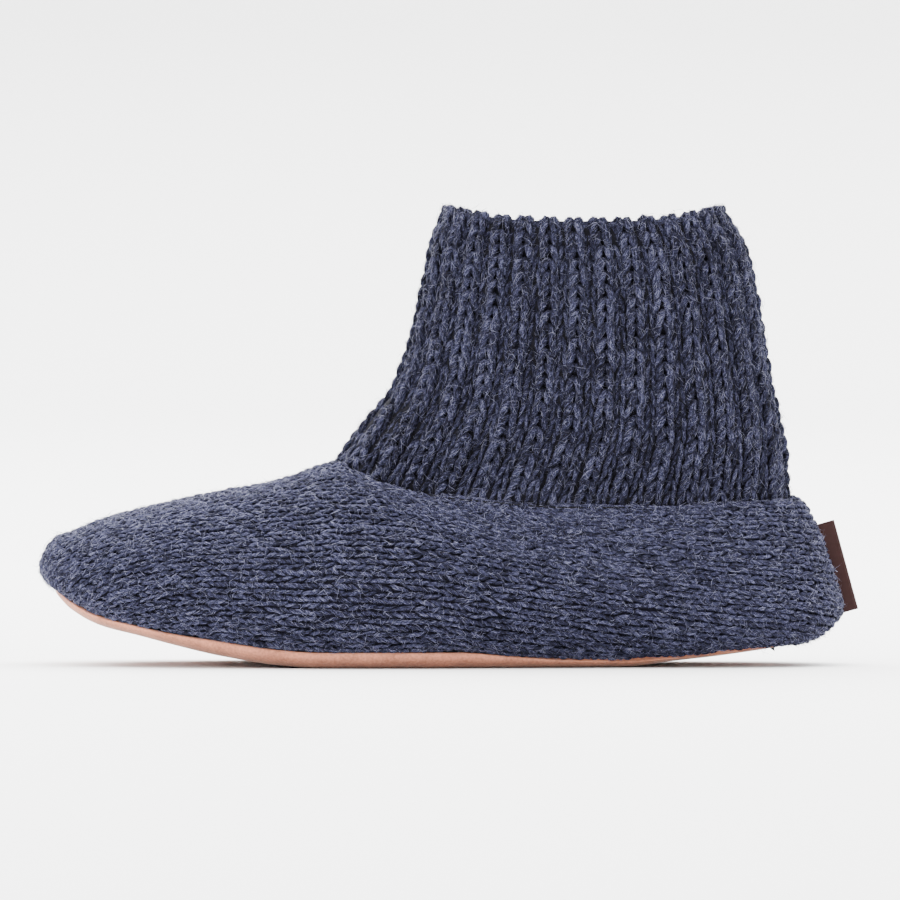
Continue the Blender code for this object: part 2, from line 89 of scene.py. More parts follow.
COLLAR_GAP = 0.0005
SEAM_HANDLE = 0.50
SEAM_RISE = 0.25
RIM_CORNER = 3
THROAT_SHARE = 1.0 - (COLLAR_LENGTH + HEEL_LEDGE) / FOOT_LENGTH
TOE_STEPS = 13
REAR_STEPS = 22
ALL_STEPS = TOE_STEPS + REAR_STEPS
SMALL_STEP = 0.001

OUTLINE = (
    "at outer inner heel swing tuck",
    (0.00, 0.00, 0.00, 0.00, 0.068, 0.00),
    (0.01, 0.26, 0.26, 0.00, 0.068, 0.00),
    (0.03, 0.43, 0.42, 0.00, 0.066, 0.00),
    (0.06, 0.57, 0.55, 0.00, 0.061, 0.00),
    (0.10, 0.68, 0.67, 0.00, 0.054, 0.00),
    (0.15, 0.77, 0.78, 0.00, 0.043, 0.00),
    (0.22, 0.86, 0.89, 0.00, 0.028, 0.00),
    (0.30, 0.94, 0.95, 0.00, 0.012, 0.00),
    (0.38, 0.98, 0.94, 0.00, 0.000, 0.02),
    (0.46, 0.96, 0.87, 0.00, -0.005, 0.05),
    (0.55, 0.99, 0.88, 0.35, -0.008, 0.10),
    (0.65, 1.01, 0.91, 0.70, -0.006, 0.20),
    (0.75, 1.03, 0.97, 1.00, -0.002, 0.34),
    (0.85, 0.97, 0.95, 1.00, 0.000, 0.58),
    (0.92, 0.85, 0.85, 1.00, 0.000, 0.80),
    (0.97, 0.60, 0.60, 1.00, 0.000, 0.95),
    (1.00, 0.00, 0.00, 1.00, 0.000, 1.00),
)

UNDERSIDE = (
    "at spring lift arch edge",
    (0.018, 1.00, 0.00, 0.00, 0.39),
    (0.039, 0.79, 0.00, 0.00, 0.56),
    (0.077, 0.57, 0.00, 0.00, 0.61),
    (0.127, 0.43, 0.00, 0.00, 0.62),
    (0.178, 0.285, 0.00, 0.00, 0.76),
    (0.229, 0.156, 0.00, 0.00, 0.96),
    (0.304, 0.031, 0.00, 0.00, 1.00),
    (0.350, 0.00, 0.00, 0.00, 1.00),
    (0.430, 0.00, 0.00, 0.00, 1.00),
    (0.520, 0.00, 0.00, 1.00, 1.00),
    (0.580, 0.00, 0.00, 0.80, 0.76),
    (0.650, 0.00, 0.00, 0.00, 0.52),
    (0.720, 0.00, 0.00, 0.00, 0.44),
    (0.773, 0.00, 0.20, 0.00, 0.30),
    (0.836, 0.00, 0.44, 0.00, 0.20),
    (0.900, 0.00, 0.74, 0.00, 0.16),
    (0.945, 0.00, 1.00, 0.00, 0.14),
)

WIDEST = (
    "at height",
    (0.00, 0.121),
    (0.03, 0.148),
    (0.08, 0.205),
    (0.15, 0.243),
    (0.25, 0.286),
    (0.37, 0.313),
    (0.50, 0.307),
    (0.70, 0.280),
    (0.85, 0.225),
    (0.95, 0.180),
    (1.00, 0.180),
)

RIDGE = (
    "at height reach rise lean fall",
    (0.000, 0.121, 0.55, 0.55, 0.00, 0.00),
    (0.035, 0.242, 0.55, 0.55, 0.00, 0.00),
    (0.105, 0.366, 0.55, 0.55, 0.00, 0.00),
    (0.208, 0.502, 0.55, 0.55, 0.00, 0.00),
    (0.345, 0.606, 0.55, 0.55, 0.00, 0.00),
    (0.484, 0.709, 0.55, 0.55, 0.00, 0.00),
    (0.622, 0.794, 0.55, 0.55, 0.00, 0.00),
    (0.761, 0.865, 0.52, 0.55, 0.00, 0.00),
    (0.861, 0.919, 0.45, 0.55, 0.00, 0.00),
    (0.932, 0.965, 0.35, 0.55, 0.00, 0.00),
    (1.000, 1.000, 0.25, 0.55, 0.00, 0.00),
)

COLLAR = (
    "at instep heel reach rise lean fall",
    (0.00, 1.00, 0.000, 0.25, 0.55, 0.00, 0.00),
    (0.02, 0.88, 0.117, 0.28, 0.55, 0.00, 0.22),
    (0.10, 0.50, 0.485, 0.36, 0.55, 0.00, 0.48),
    (0.235, 0.20, 0.768, 0.42, 0.52, 0.03, 0.62),
    (0.37, 0.05, 0.916, 0.44, 0.47, 0.08, 0.55),
    (0.50, 0.00, 0.954, 0.42, 0.42, 0.12, 0.40),
    (0.72, 0.00, 0.954, 0.40, 0.36, 0.18, 0.05),
    (0.85, 0.00, 0.965, 0.40, 0.35, 0.20, -0.20),
    (0.94, 0.00, 0.977, 0.40, 0.35, 0.20, -0.32),
    (1.00, 0.00, 1.000, 0.40, 0.35, 0.20, -0.32),
)

CUFF = (
    "at front back width bulge",
    (0.00, 0.00, 0.00, 0.00, 0.00),
    (0.15, 0.26, 0.03, 0.05, 0.60),
    (0.28, 0.50, 0.14, 0.14, 0.93),
    (0.45, 0.66, 0.30, 0.30, 1.00),
    (0.60, 0.75, 0.41, 0.45, 0.90),
    (0.75, 0.83, 0.53, 0.60, 0.65),
    (0.90, 0.90, 0.70, 0.80, 0.30),
    (1.00, 1.00, 1.00, 1.00, 0.00),
)

# Columns of foot stitches by section number: start is the distance from the top line to
# the edge of the first column and width a column's width, both in millimetres. Behind
# the throat the collar cuts the first columns off.
WALES = (
    "at start width",
    (0.0, 0.0, 3.50),
    (5.0, 0.0, 3.60),
    (8.4, 0.0, 3.85),
    (11.2, 0.0, 4.40),
    (13.0, 0.0, 4.75),
    (15.0, -5.6, 4.70),
    (18.0, -11.5, 4.52),
    (21.0, -8.6, 4.18),
    (24.0, -5.0, 4.02),
    (27.5, -1.8, 4.00),
    (31.5, 0.8, 4.10),
    (35.0, 2.2, 4.20),
)

# How far the foot's yarn stands out of the plain wall, in millimetres, by section number
LIFT = (
    "at lift",
    (0.0, 0.8),
    (6.0, 0.7),
    (9.0, -0.1),
    (13.0, -0.3),
    (20.0, 0.3),
    (30.0, -0.1),
    (35.0, -0.4),
)

# Knit: how many samples the knitted sheets have, and how each yarn leg is drawn
FOOT_SECTIONS = 281         # sections of one side of the foot
FOOT_ROWS = 97              # samples down a section
RING_SAMPLES = 1440         # angles at which the cuff's round length is measured
RING_STEPS = 8              # samples for one rib
WALE_SAMPLES = 1401         # samples along one column of foot stitches
PIECE_SPLIT = 15.0          # section number that parts the foot's front and back pieces
BACKING_DEPTH = 0.0019      # inner layer under the tops of the stitches
# The ribs' wool and fibres are painted darker than the foot's: painted shade
RIB_PAINTED_SHADE = 0.70             # the ribs' wool against the foot's
RIB_LIFT = 0.0011           # how far the ribs' tops stand out of the plain cuff
RIM_ROUND = 0.0009          # how much lower the rim's very front and back are
RIM_ROUND_POWER = 24        # the higher, the less of the rim is lowered
SEAM_FADE = 0.012           # distance from the sole seam at which the knit starts to thin
INSOLE_TIP = 0.002          # least width of the insole at its two ends
HEEL_SAG = 0.0016           # how far the knit hangs out over the sole's edge at the heel
HEEL_SAG_REACH = 0.014      # distance from the sole seam at which it starts to hang
CUFF_START = -0.03          # rise at which the cuff starts, inside the foot
YARN_TWIST = 0.55           # turn of the yarn's plies, in radians per millimetre
YARN_FLAT = 0.92            # thickness of a leg of yarn against its width

# Cuff's inner layer: its depth under the ribs' tops at shares of the way over the cuff
CUFF_BACKING = ((0.0, 0.04, 0.44, 0.48, 0.52, 0.56),
                (0.0012, 0.0036, 0.0036, 0.0026, 0.0026, 0.0021))

# Cuff's knit: piece, place in ribs, rings of a leg, where its columns start and stop as a
# number of outside lengths and a distance, how deep it sinks at the collar and higher up,
# half width of a stitch, share of the yarn's radius, share of the fibres, sides of the yarn
CUFF_KNIT = (
    ("cuff_ribs", 0.0, 7, (0.0, 0.0), (1.0, 0.010), (0.0, 0.0), 0.0025, 1.0, 0.75, 6),
    ("cuff_valleys", 0.5, 5, (0.0, 0.0), (1.0, 0.006), (0.0006, 0.0021), 0.0017, 0.66, 0.25, 6),
    ("cuff_inside", 0.0, 4, (1.0, 0.010), (2.0, -0.002), (0.0, 0.0), 0.0023, 0.8, 0.0, 5),
)
SINK_REACH = 0.020          # distance from the collar over which a column sinks
RIB_CURVE = 0.0034          # distance from a rib's middle at which it has fallen by RIB_FALL
RIB_FALL = 0.0026

# Seam that joins the cuff to the foot: distances out of the plain cuff and below the collar
COLLAR_SEAM = ((0.0012, 0.0014), (-0.0010, 0.0022), (-0.0034, 0.0034))

# Inner layers of felted wool behind the stitches, coloured dark as painted shade
FOOT_INNER_WALL = 0.0005
CUFF_INNER_WALL = 0.0003

# Leg of a foot stitch: rings, where it starts and ends across the column as shares of the
# column's width, and how deep its two ends go
FOOT_LEG = (6, 0.08, 0.37, 0.0011, 0.0011)
COLUMN_START = 0.15         # least distance of a column from the top line, in widths
COLUMN_PAST = 0.32          # how far a column may lie past the sole seam, in widths
SHORT_LEG = 0.6             # legs cut shorter than this share of the usual are left out

# Unevenness of the knitting, as standard deviations. A whole stitch moves across its
# column. A leg moves along and gets wider, moves across and in depth, and gets thicker.
FOOT_DRIFT = 0.00012
FOOT_UNEVEN = (0.00020, 0.08, 0.00015, 0.00014, 0.07)
RIB_DRIFT = 0.00018
RIB_UNEVEN = (0.00022, 0.09, 0.00014, 0.00012, 0.07)

# Loose fibres
FIBRE_LENGTH = 0.0008       # a quarter of the mean length
FIBRE_RADIUS = (0.00004, 0.00008)
FLYAWAY = 0.10              # share of the fibres that stand off the yarn

# Stitches down the heel's back seam
STITCH_PITCH = 0.0026
STITCH_HALF_WIDTH = 0.0024
STITCH_LEAN = 0.0014
STITCH_DEPTH = 0.0007       # under the knit's tops in the middle, and STITCH_BEND more outside
STITCH_BEND = 0.0012
STITCH_RADIUS = 0.00085

VIEW_MIDDLE = (-0.0478, 0.0745)     # X and Z of the picture's middle

# Heel ribbon: the way up along it, and how far its cut ends go into the heel's seam
RIBBON_WAY = (-0.0090, 0.0, 0.0308)
RIBBON_TUCK = 0.0028


def plain(share):
    """Abscissa of a table whose ends are not blunt."""
    return np.asarray(share, float)


def blunt_toe(share):
    """Abscissa that makes a curve blunt at its start."""
    return np.sqrt(np.maximum(share, 0.0))


def blunt_ends(share):
    """Abscissa that makes a curve blunt at both ends."""
    return np.arccos(1.0 - 2.0 * np.clip(share, 0.0, 1.0))


def read(table, name, share, abscissa=plain):
    """Column of a table at shares, on a smooth curve that never overshoots its rows."""
    rows = np.array(table[1:])
    places = abscissa(rows[:, 0])
    values = rows[:, table[0].split().index(name)]
    here = np.clip(abscissa(np.asarray(share, float)), places[0], places[-1])
    steps = np.diff(places)
    rises = np.diff(values) / steps
    same = rises[:-1] * rises[1:] > 0.0
    total = np.where(same, rises[:-1] + rises[1:], 1.0)
    inner = np.where(same, 2.0 * rises[:-1] * rises[1:] / total, 0.0)
    slopes = np.concatenate((rises[:1], inner, rises[-1:]))
    cell = np.minimum(np.searchsorted(places, here, side="right") - 1, len(steps) - 1)
    part = (here - places[cell]) / steps[cell]
    bend = part * part * (3.0 - 2.0 * part)
    start = slopes[cell] * steps[cell] * part * (1.0 - part) ** 2
    end = slopes[cell + 1] * steps[cell] * part * part * (part - 1.0)
    return values[cell] * (1.0 - bend) + values[cell + 1] * bend + start + end


def along(share):
    """X of a share of the foot length."""
    return (share - HEEL_SPOT) * FOOT_LENGTH


def share_of(x):
    """Share of the foot length at an X."""
    return x / FOOT_LENGTH + HEEL_SPOT


def middle(share):
    """Y of the middle line."""
    return read(OUTLINE, "swing", share) * BALL_WIDTH


def floor_height(x, y):
    """Height of the sole's underside at places of the plan, edge rounding apart."""
    share = share_of(x)
    spring = read(UNDERSIDE, "spring", share) * TOE_SPRING
    lift = read(UNDERSIDE, "lift", share) * HEEL_LIFT
    inner = np.clip((y - middle(share)) / (BALL_WIDTH / 2.0), 0.0, 1.0)
    return spring + lift + read(UNDERSIDE, "arch", share) * ARCH_LIFT * inner * inner


def section_place(number):
    """Share of the outline, and angle round the collar, of section numbers."""
    number = np.asarray(number, float)
    turn = np.minimum(number / TOE_STEPS, 1.0)
    toe = THROAT_SHARE * (1.0 - np.cos(turn * math.pi / 2.0))
    angle = math.pi * np.maximum(number - TOE_STEPS, 0.0) / REAR_STEPS
    travel = (np.sin(angle / 2.0) + (1.0 - np.cos(angle)) / 2.0) / 2.0
    return np.where(number <= TOE_STEPS, toe, THROAT_SHARE + (1.0 - THROAT_SHARE) * travel), angle


def outline_point(number, side):
    """Widest points of sections from above."""
    share = section_place(number)[0]
    heel = read(OUTLINE, "heel", share)
    half = (BALL_WIDTH * (1.0 - heel) + HEEL_WIDTH * heel) / 2.0
    half = half * read(OUTLINE, "inner" if side > 0 else "outer", share, blunt_ends)
    return np.stack((along(share), middle(share) + side * half), -1)


def seam_plan(number, side, inset=0.0):
    """Points of the sole seam from above, or of a line further in by the inset."""
    number = np.asarray(number, float)
    run = (outline_point(np.minimum(number + SMALL_STEP, ALL_STEPS), side)
           - outline_point(np.maximum(number - SMALL_STEP, 0.0), side))
    run /= np.linalg.norm(run, axis=-1, keepdims=True)
    inward = np.stack((run[..., 1], -run[..., 0]), -1) * side
    share = section_place(number)[0]
    tuck = SEAM_TUCK + (HEEL_TUCK - SEAM_TUCK) * read(OUTLINE, "tuck", share)
    return outline_point(number, side) + inward * (tuck + inset)[..., None]


def collar_height(share):
    """Height of the collar seam at shares of its length."""
    throat = np.asarray(THROAT_SHARE)
    front = INSTEP_HEIGHT + floor_height(along(throat), middle(throat))
    return read(COLLAR, "instep", share) * front + read(COLLAR, "heel", share) * HEEL_HEIGHT


def top_line(number, side):
    """Tops of sections, and the reach, rise, lean and fall that their curves leave with."""
    share, angle = section_place(number)
    ridge_x = along(share)
    ridge_rise = read(RIDGE, "height", share / THROAT_SHARE, blunt_toe) * INSTEP_HEIGHT
    ridge = np.stack((ridge_x, middle(share),
                      floor_height(ridge_x, middle(share)) + ridge_rise), -1)
    round_share = (1.0 - np.cos(angle)) / 2.0
    collar = np.stack((along(THROAT_SHARE) + round_share * COLLAR_LENGTH,
                       side * np.sin(angle) * COLLAR_WIDTH / 2.0,
                       collar_height(round_share)), -1)
    front = np.asarray(number) <= TOE_STEPS
    handles = []
    for name in ("reach", "rise", "lean", "fall"):
        toe = read(RIDGE, name, share / THROAT_SHARE)
        handles.append(np.where(front, toe, read(COLLAR, name, round_share)))
    return np.where(front[..., None], ridge, collar), handles


def bezier(points, parts):
    """Points of cubic curves, each with four control points, at shares of their run."""
    parts = parts[None, :, None]
    rest = 1.0 - parts
    first, second, third, last = (point[:, None, :] for point in points)
    return (first * rest ** 3 + second * 3.0 * rest * rest * parts
            + third * 3.0 * rest * parts * parts + last * parts ** 3)


def section_lines(numbers, side):
    """Outer lines of the foot's sections, from the top to the sole seam."""
    share = section_place(numbers)[0]
    up = np.array((0.0, 0.0, 1.0))
    plan = seam_plan(numbers, side)
    edge = read(UNDERSIDE, "edge", share_of(plan[:, 0])) * SOLE_EDGE
    low = np.column_stack((plan, floor_height(plan[:, 0], plan[:, 1]) + edge))
    plan = outline_point(numbers, side)
    rise = read(WIDEST, "height", share) * INSTEP_HEIGHT
    wide = np.column_stack((plan, floor_height(plan[:, 0], middle(share)) + rise))
    top, (reach, lift, lean, fall) = top_line(numbers, side)

    out = np.column_stack((wide[:, :2] - low[:, :2], np.zeros(len(low))))
    height = (wide[:, 2] - low[:, 2])[:, None]
    steep = np.maximum(0.0, height - np.linalg.norm(out, axis=1, keepdims=True)) * SEAM_RISE
    lower = (wide, wide - up * height * SEAM_HANDLE,
             low + out * SEAM_HANDLE + up * steep, low)
    over = np.column_stack((wide[:, :2] - top[:, :2], np.zeros(len(low))))
    span = np.linalg.norm(over, axis=1, keepdims=True)
    upper = (top, top + over * reach[:, None] - up * fall[:, None] * span * reach[:, None],
             wide - over * lean[:, None] + up * (top[:, 2:] - wide[:, 2:]) * lift[:, None], wide)
    return np.concatenate((bezier(upper, np.linspace(0.0, 1.0, 61)),
                           bezier(lower, np.linspace(0.0, 1.0, 25))[:, 1:]), 1)


def unit(vectors):
    """Vectors of length one."""
    length = np.linalg.norm(vectors, axis=-1, keepdims=True)
    return vectors / np.maximum(length, 1e-12)


class Sheet:
    """A knitted surface: lines of points side by side, read by line and by distance."""

    def __init__(self, lines, rows, closed=False):
        steps = np.linalg.norm(np.diff(lines, axis=1), axis=2)
        travelled = np.concatenate((np.zeros((len(lines), 1)), np.cumsum(steps, 1)), 1)
        self.lengths = travelled[:, -1]
        shares = np.linspace(0.0, 1.0, rows)
        self.points = np.empty((len(lines), rows, 3))
        for line in range(len(lines)):
            stops = shares * self.lengths[line]
            for axis in range(3):
                self.points[line, :, axis] = np.interp(stops, travelled[line],
                                                       lines[line, :, axis])
        if closed:
            ends = np.concatenate((self.points[-2:-1], self.points, self.points[1:2]))
            across = ends[2:] - ends[:-2]
        else:
            across = np.gradient(self.points, axis=0)
        self.normals = unit(np.cross(across, np.gradient(self.points, axis=1)))

    def read(self, grid, line, part):
        """Values of a grid at line numbers and shares of the lines' lengths."""
        line = np.clip(line, 0.0, len(grid) - 1.0)
        cell = np.minimum(line.astype(int), len(grid) - 2)
        line_part = (line - cell)[..., None]
        place = np.clip(part, 0.0, 1.0) * (grid.shape[1] - 1)
        row = np.minimum(place.astype(int), grid.shape[1] - 2)
        row_part = (place - row)[..., None]
        near = grid[cell, row] * (1.0 - row_part) + grid[cell, row + 1] * row_part
        far = grid[cell + 1, row] * (1.0 - row_part) + grid[cell + 1, row + 1] * row_part
        return near * (1.0 - line_part) + far * line_part

    def length(self, line):
        """Lengths of lines at line numbers."""
        return np.interp(line, np.arange(len(self.lengths)), self.lengths)

    def at(self, line, distance, margin=0.0):
        """Points and normals at line numbers and distances down the lines."""
        length = self.length(line)
        part = np.clip(distance, margin, np.maximum(length - margin, margin)) / length
        return self.read(self.points, line, part), unit(self.read(self.normals, line, part))


def foot_sheet(side):
    """Outside of the knitted foot on one side, from the top line to the sole seam."""
    lines = section_lines(np.linspace(0.0, ALL_STEPS, FOOT_SECTIONS), side)
    sheet = Sheet(lines, FOOT_ROWS)
    sheet.normals *= side
    return sheet


def ring(rise):
    """Points round the ribs' outer outline at a rise: plan, outward direction, angle."""
    front = along(THROAT_SHARE) + COLLAR_GAP + read(CUFF, "front", rise) * RIM_SET_FRONT
    back = along(THROAT_SHARE) + COLLAR_LENGTH - COLLAR_GAP
    back -= read(CUFF, "back", rise) * RIM_SET_BACK
    part = read(CUFF, "width", rise)
    width = (COLLAR_WIDTH - 2.0 * COLLAR_GAP) * (1.0 - part) + RIM_WIDTH * part
    width += 2.0 * read(CUFF, "bulge", rise) * CUFF_BULGE
    long_half = (back - front) / 2.0
    wide_half = width / 2.0
    angles = np.linspace(0.0, 2.0 * math.pi, RING_SAMPLES + 1)
    steps = np.hypot(np.diff(long_half * np.cos(angles)), np.diff(wide_half * np.sin(angles)))
    travelled = np.concatenate(([0.0], np.cumsum(steps)))
    stops = np.linspace(0.0, travelled[-1], RIB_COUNT * RING_STEPS + 1)
    angle = np.interp(stops, travelled, angles)
    plan = np.column_stack(((front + back) / 2.0 - long_half * np.cos(angle),
                            -wide_half * np.sin(angle)))
    out = unit(np.column_stack((-np.cos(angle) * wide_half, -np.sin(angle) * long_half)))
    return plan, out, angle


def cuff_height(angle, rise):
    """Heights on the cuff at angles from the front and a rise."""
    base = collar_height((1.0 - np.cos(angle)) / 2.0) + COLLAR_GAP
    ends = np.abs(np.cos(angle))
    rim = RIM_HEIGHT - RIM_DIP * (1.0 - ends ** RIM_CORNER) - RIM_ROUND * ends ** RIM_ROUND_POWER
    return base + (rim - base) * rise


def cuff_sheet():
    """Tops of the ribs, from the collar up the outside, over the fold and down inside."""
    radius = CUFF_WALL / 2.0
    profile = [(rise, RIB_LIFT, 0.0) for rise in np.linspace(CUFF_START, 1.0, 42)]
    for turn in np.linspace(0.0, math.pi, 13)[1:-1]:
        profile.append((1.0, RIB_LIFT + radius * (math.cos(turn) - 1.0),
                        (radius + RIB_LIFT) * math.sin(turn)))
    profile += [(rise, RIB_LIFT - CUFF_WALL, 0.0) for rise in np.linspace(1.0, 0.0, 31)]
    rows = []
    for rise, offset, lift in profile:
        plan, out, angle = ring(rise)
        rows.append(np.column_stack((plan + out * offset, cuff_height(angle, rise) + lift)))
    return Sheet(np.stack(rows, 1), 161, closed=True)


def linear(code):
    """Linear colour of an sRGB hex value."""
    values = [int(code[place:place + 2], 16) / 255.0 for place in (1, 3, 5)]
    return tuple(((value + 0.055) / 1.055) ** 2.4 if value > 0.04045 else value / 12.92
                 for value in values)


def scaled(colour, level):
    """Colour made lighter or darker."""
    return [min(1.0, value * level) for value in colour]


class SockSizes(bpy.types.PropertyGroup):
    """Sizes of the yarn and its stitches."""

    yarn: FloatProperty(
        name="Yarn width", description="Thickness of the foot's wool yarn",
        default=0.00155, min=0.0008, max=0.003, unit="LENGTH", precision=4)
    rib_yarn: FloatProperty(
        name="Rib yarn width", description="Thickness of the cuff's wool yarn",
        default=0.0025, min=0.0008, max=0.004, unit="LENGTH", precision=4)
    overlap: FloatProperty(
        name="Stitch overlap", description="Length of a yarn leg as a share of the stitch length",
        default=1.75, min=1.0, max=2.5)
    course: FloatProperty(
        name="Stitch length", description="Distance from stitch to stitch along the foot",
        default=0.0028, min=0.002, max=0.006, unit="LENGTH", precision=4)
    rib_course: FloatProperty(
        name="Rib stitch length", description="Distance from stitch to stitch up a rib",
        default=0.0045, min=0.003, max=0.008, unit="LENGTH", precision=4)
    foot_fibres: IntProperty(
        name="Foot fibres", description="Loose wool fibres on the foot", default=24000, min=0)
    cuff_fibres: IntProperty(
        name="Cuff fibres", description="Loose wool fibres on the cuff", default=20000, min=0)


def colour_setting(name, description, code):
    """Colour setting with an sRGB hex value as its default."""
    return FloatVectorProperty(name=name, description=description, default=linear(code),
                               subtype="COLOR", min=0.0, max=1.0)


class SockColours(bpy.types.PropertyGroup):
    """Colours of the yarns, the suede, the felt and the ribbon."""

    shade: colour_setting("Inner wool", "Shaded wool behind the stitches", "#141320")
    deep: colour_setting("Deep wool", "Darkest fibres of the marled yarn", "#0f0f16")
    body: colour_setting("Wool", "Main colour of the marled yarn", "#1f1f2f")
    light: colour_setting("Light wool", "Lighter fibres of the marled yarn", "#35364e")
    fleck: colour_setting("Wool flecks", "Pale fibres in and on the yarn", "#696a84")
    fibre: colour_setting("Loose fibres", "Palest fibres that stand off the yarn", "#80819a")
    suede: colour_setting("Suede", "Main colour of the sole", "#c07e64")
    felt: colour_setting("Felt", "Main colour of the insole", "#3d4048")
    ribbon: colour_setting("Ribbon", "Main colour of the heel ribbon", "#2d1c1b")


class SockStudio(bpy.types.PropertyGroup):
    """Camera distance and the strength of the studio's light."""

    distance: FloatProperty(
        name="Camera distance", description="Distance from the camera to the middle plane",
        default=2.0, min=0.5, max=10.0, unit="LENGTH")
    view_width: FloatProperty(
        name="View width", description="Width of the view at the middle plane",
        default=0.3130, min=0.1, max=2.0, unit="LENGTH", precision=4)
    softbox: FloatProperty(
        name="Softbox power", description="Power of the large softbox overhead, in watts",
        default=930.0, min=0.0, max=3000.0)
    fill: FloatProperty(
        name="Surround", description="Strength of the white surround",
        default=0.9, min=0.0, max=5.0)


def add_node(tree, kind, inputs=None, stops=None, **settings):
    """Add a node: its settings, its inputs as values or sockets, and any ramp's stops."""
    node = tree.nodes.new("ShaderNode" + kind)
    for name, value in settings.items():
        setattr(node, name, value)
    for key, value in (inputs or {}).items():
        if isinstance(value, bpy.types.NodeSocket):
            tree.links.new(value, node.inputs[key])
        else:
            node.inputs[key].default_value = value
    if stops:
        ramp = node.color_ramp
        while len(ramp.elements) < len(stops):
            ramp.elements.new(1.0)
        for element, (place, colour) in zip(ramp.elements, stops):
            element.position = place
            element.color = (*colour[:3], 1.0)
    return node


def new_material(name):
    """Empty node material and its tree."""
    finish = bpy.data.materials.new(name)
    finish.use_nodes = True
    finish.node_tree.nodes.clear()
    return finish, finish.node_tree


def surface(finish, inputs):
    """Give a material its surface, and return it."""
    shader = add_node(finish.node_tree, "BsdfPrincipled", inputs)
    add_node(finish.node_tree, "OutputMaterial", {"Surface": shader.outputs[0]})
    return finish


def marled_wool(name, colours, shade_level=1.0):
    """Spun two-ply wool, carded from navy, black and grey fibres: matt and streaky."""
    finish, tree = new_material(name)
    strand = add_node(tree, "Attribute", attribute_name="strand").outputs["Vector"]
    tone = add_node(tree, "Attribute", attribute_name="tone").outputs["Fac"]
    # Fibre streaks: 0.5 mm across and 2.5 mm along the twisted yarn, as fine as shows
    stretched = add_node(tree, "Mapping", {"Vector": strand, "Scale": (1.0, 1.0, 0.2)})
    streaks = add_node(tree, "TexNoise", {"Vector": stretched.outputs[0], "Scale": 2.0,
                                          "Detail": 2.0, "Roughness": 0.7})
    fine = add_node(tree, "TexNoise", {"Vector": stretched.outputs[0], "Scale": 5.0,
                                       "Detail": 1.0})
    # Lighter and darker lengths of yarn, 8 mm and longer
    place = add_node(tree, "TexCoord").outputs["Object"]
    lengths = add_node(tree, "TexNoise", {"Vector": place, "Scale": 120.0, "Detail": 2.0})
    mix = add_node(tree, "Math", {0: streaks.outputs["Fac"], 1: fine.outputs["Fac"]},
                   operation="ADD")
    mix = add_node(tree, "Math", {0: mix.outputs[0], 1: 0.5}, operation="MULTIPLY")
    shift = add_node(tree, "Math", {0: lengths.outputs["Fac"], 1: tone}, operation="ADD")
    shift = add_node(tree, "Math", {0: shift.outputs[0], 1: 0.08, 2: -0.08},
                     operation="MULTIPLY_ADD")
    level = add_node(tree, "Math", {0: mix.outputs[0], 1: shift.outputs[0]}, operation="ADD")
    # A level under one darkens every colour as painted shade, as for the cuff's ribs
    stops = [(0.40, scaled(colours.deep, shade_level)), (0.48, scaled(colours.body, shade_level)),
             (0.56, scaled(colours.light, shade_level)), (0.66, scaled(colours.fleck, shade_level))]
    colour = add_node(tree, "ValToRGB", {"Fac": level.outputs[0]}, stops)
    # The two plies: the groove that winds round the yarn between them is darkened as painted
    # shade
    parts = add_node(tree, "SeparateXYZ", {"Vector": strand})
    groove = add_node(tree, "Math", {0: parts.outputs["X"]}, operation="ABSOLUTE")
    shade = add_node(tree, "MapRange", {"Value": groove.outputs[0], "From Min": 0.0,
                                        "From Max": 0.45, "To Min": 0.5, "To Max": 1.0})
    # Painted shade in the ply groove, multiplied into the wool's colour
    groove_shaded = add_node(tree, "Mix", {"Factor": 1.0, "A": colour.outputs["Color"],
                                  "B": shade.outputs["Result"]}, data_type="RGBA",
                    blend_type="MULTIPLY")
    groove_shaded_out = [socket for socket in groove_shaded.outputs if socket.type == "RGBA"][0]
    height = add_node(tree, "Math", {0: mix.outputs[0], 1: groove.outputs[0]}, operation="ADD")
    bump = add_node(tree, "Bump", {"Height": height.outputs[0], "Strength": 0.8,
                                   "Distance": 0.0004})
    return surface(finish, {"Base Color": groove_shaded_out, "Normal": bump.outputs[0], "Roughness": 0.9,
                            "IOR": 1.54, "Specular IOR Level": 0.08})


def plain_wool(name, colour):
    """Matt wool with a short nap: felt, and wool between stitches darkened as painted shade."""
    finish, tree = new_material(name)
    place = add_node(tree, "TexCoord").outputs["Object"]
    nap = add_node(tree, "TexNoise", {"Vector": place, "Scale": 900.0, "Detail": 3.0})
    stops = [(0.35, scaled(colour, 0.5)), (0.65, scaled(colour, 1.4))]
    shade = add_node(tree, "ValToRGB", {"Fac": nap.outputs["Fac"]}, stops)
    bump = add_node(tree, "Bump", {"Height": nap.outputs["Fac"], "Strength": 0.7,
                                   "Distance": 0.0005})
    return surface(finish, {"Base Color": shade.outputs["Color"], "Normal": bump.outputs[0],
                            "Roughness": 0.95, "IOR": 1.54, "Specular IOR Level": 0.2})


def fibre_wool(name, colours, shade_level=1.0):
    """Single wool fibres: pale, thin and slightly glossy."""
    finish, tree = new_material(name)
    tone = add_node(tree, "Attribute", attribute_name="tone").outputs["Fac"]
    # A level under one darkens the fibres as painted shade, as on the cuff
    stops = [(0.0, scaled(colours.light, shade_level)), (0.5, scaled(colours.fleck, shade_level)),
             (1.0, scaled(colours.fibre, shade_level))]
    colour = add_node(tree, "ValToRGB", {"Fac": tone}, stops)
    return surface(finish, {"Base Color": colour.outputs["Color"], "Roughness": 0.6, "IOR": 1.54})


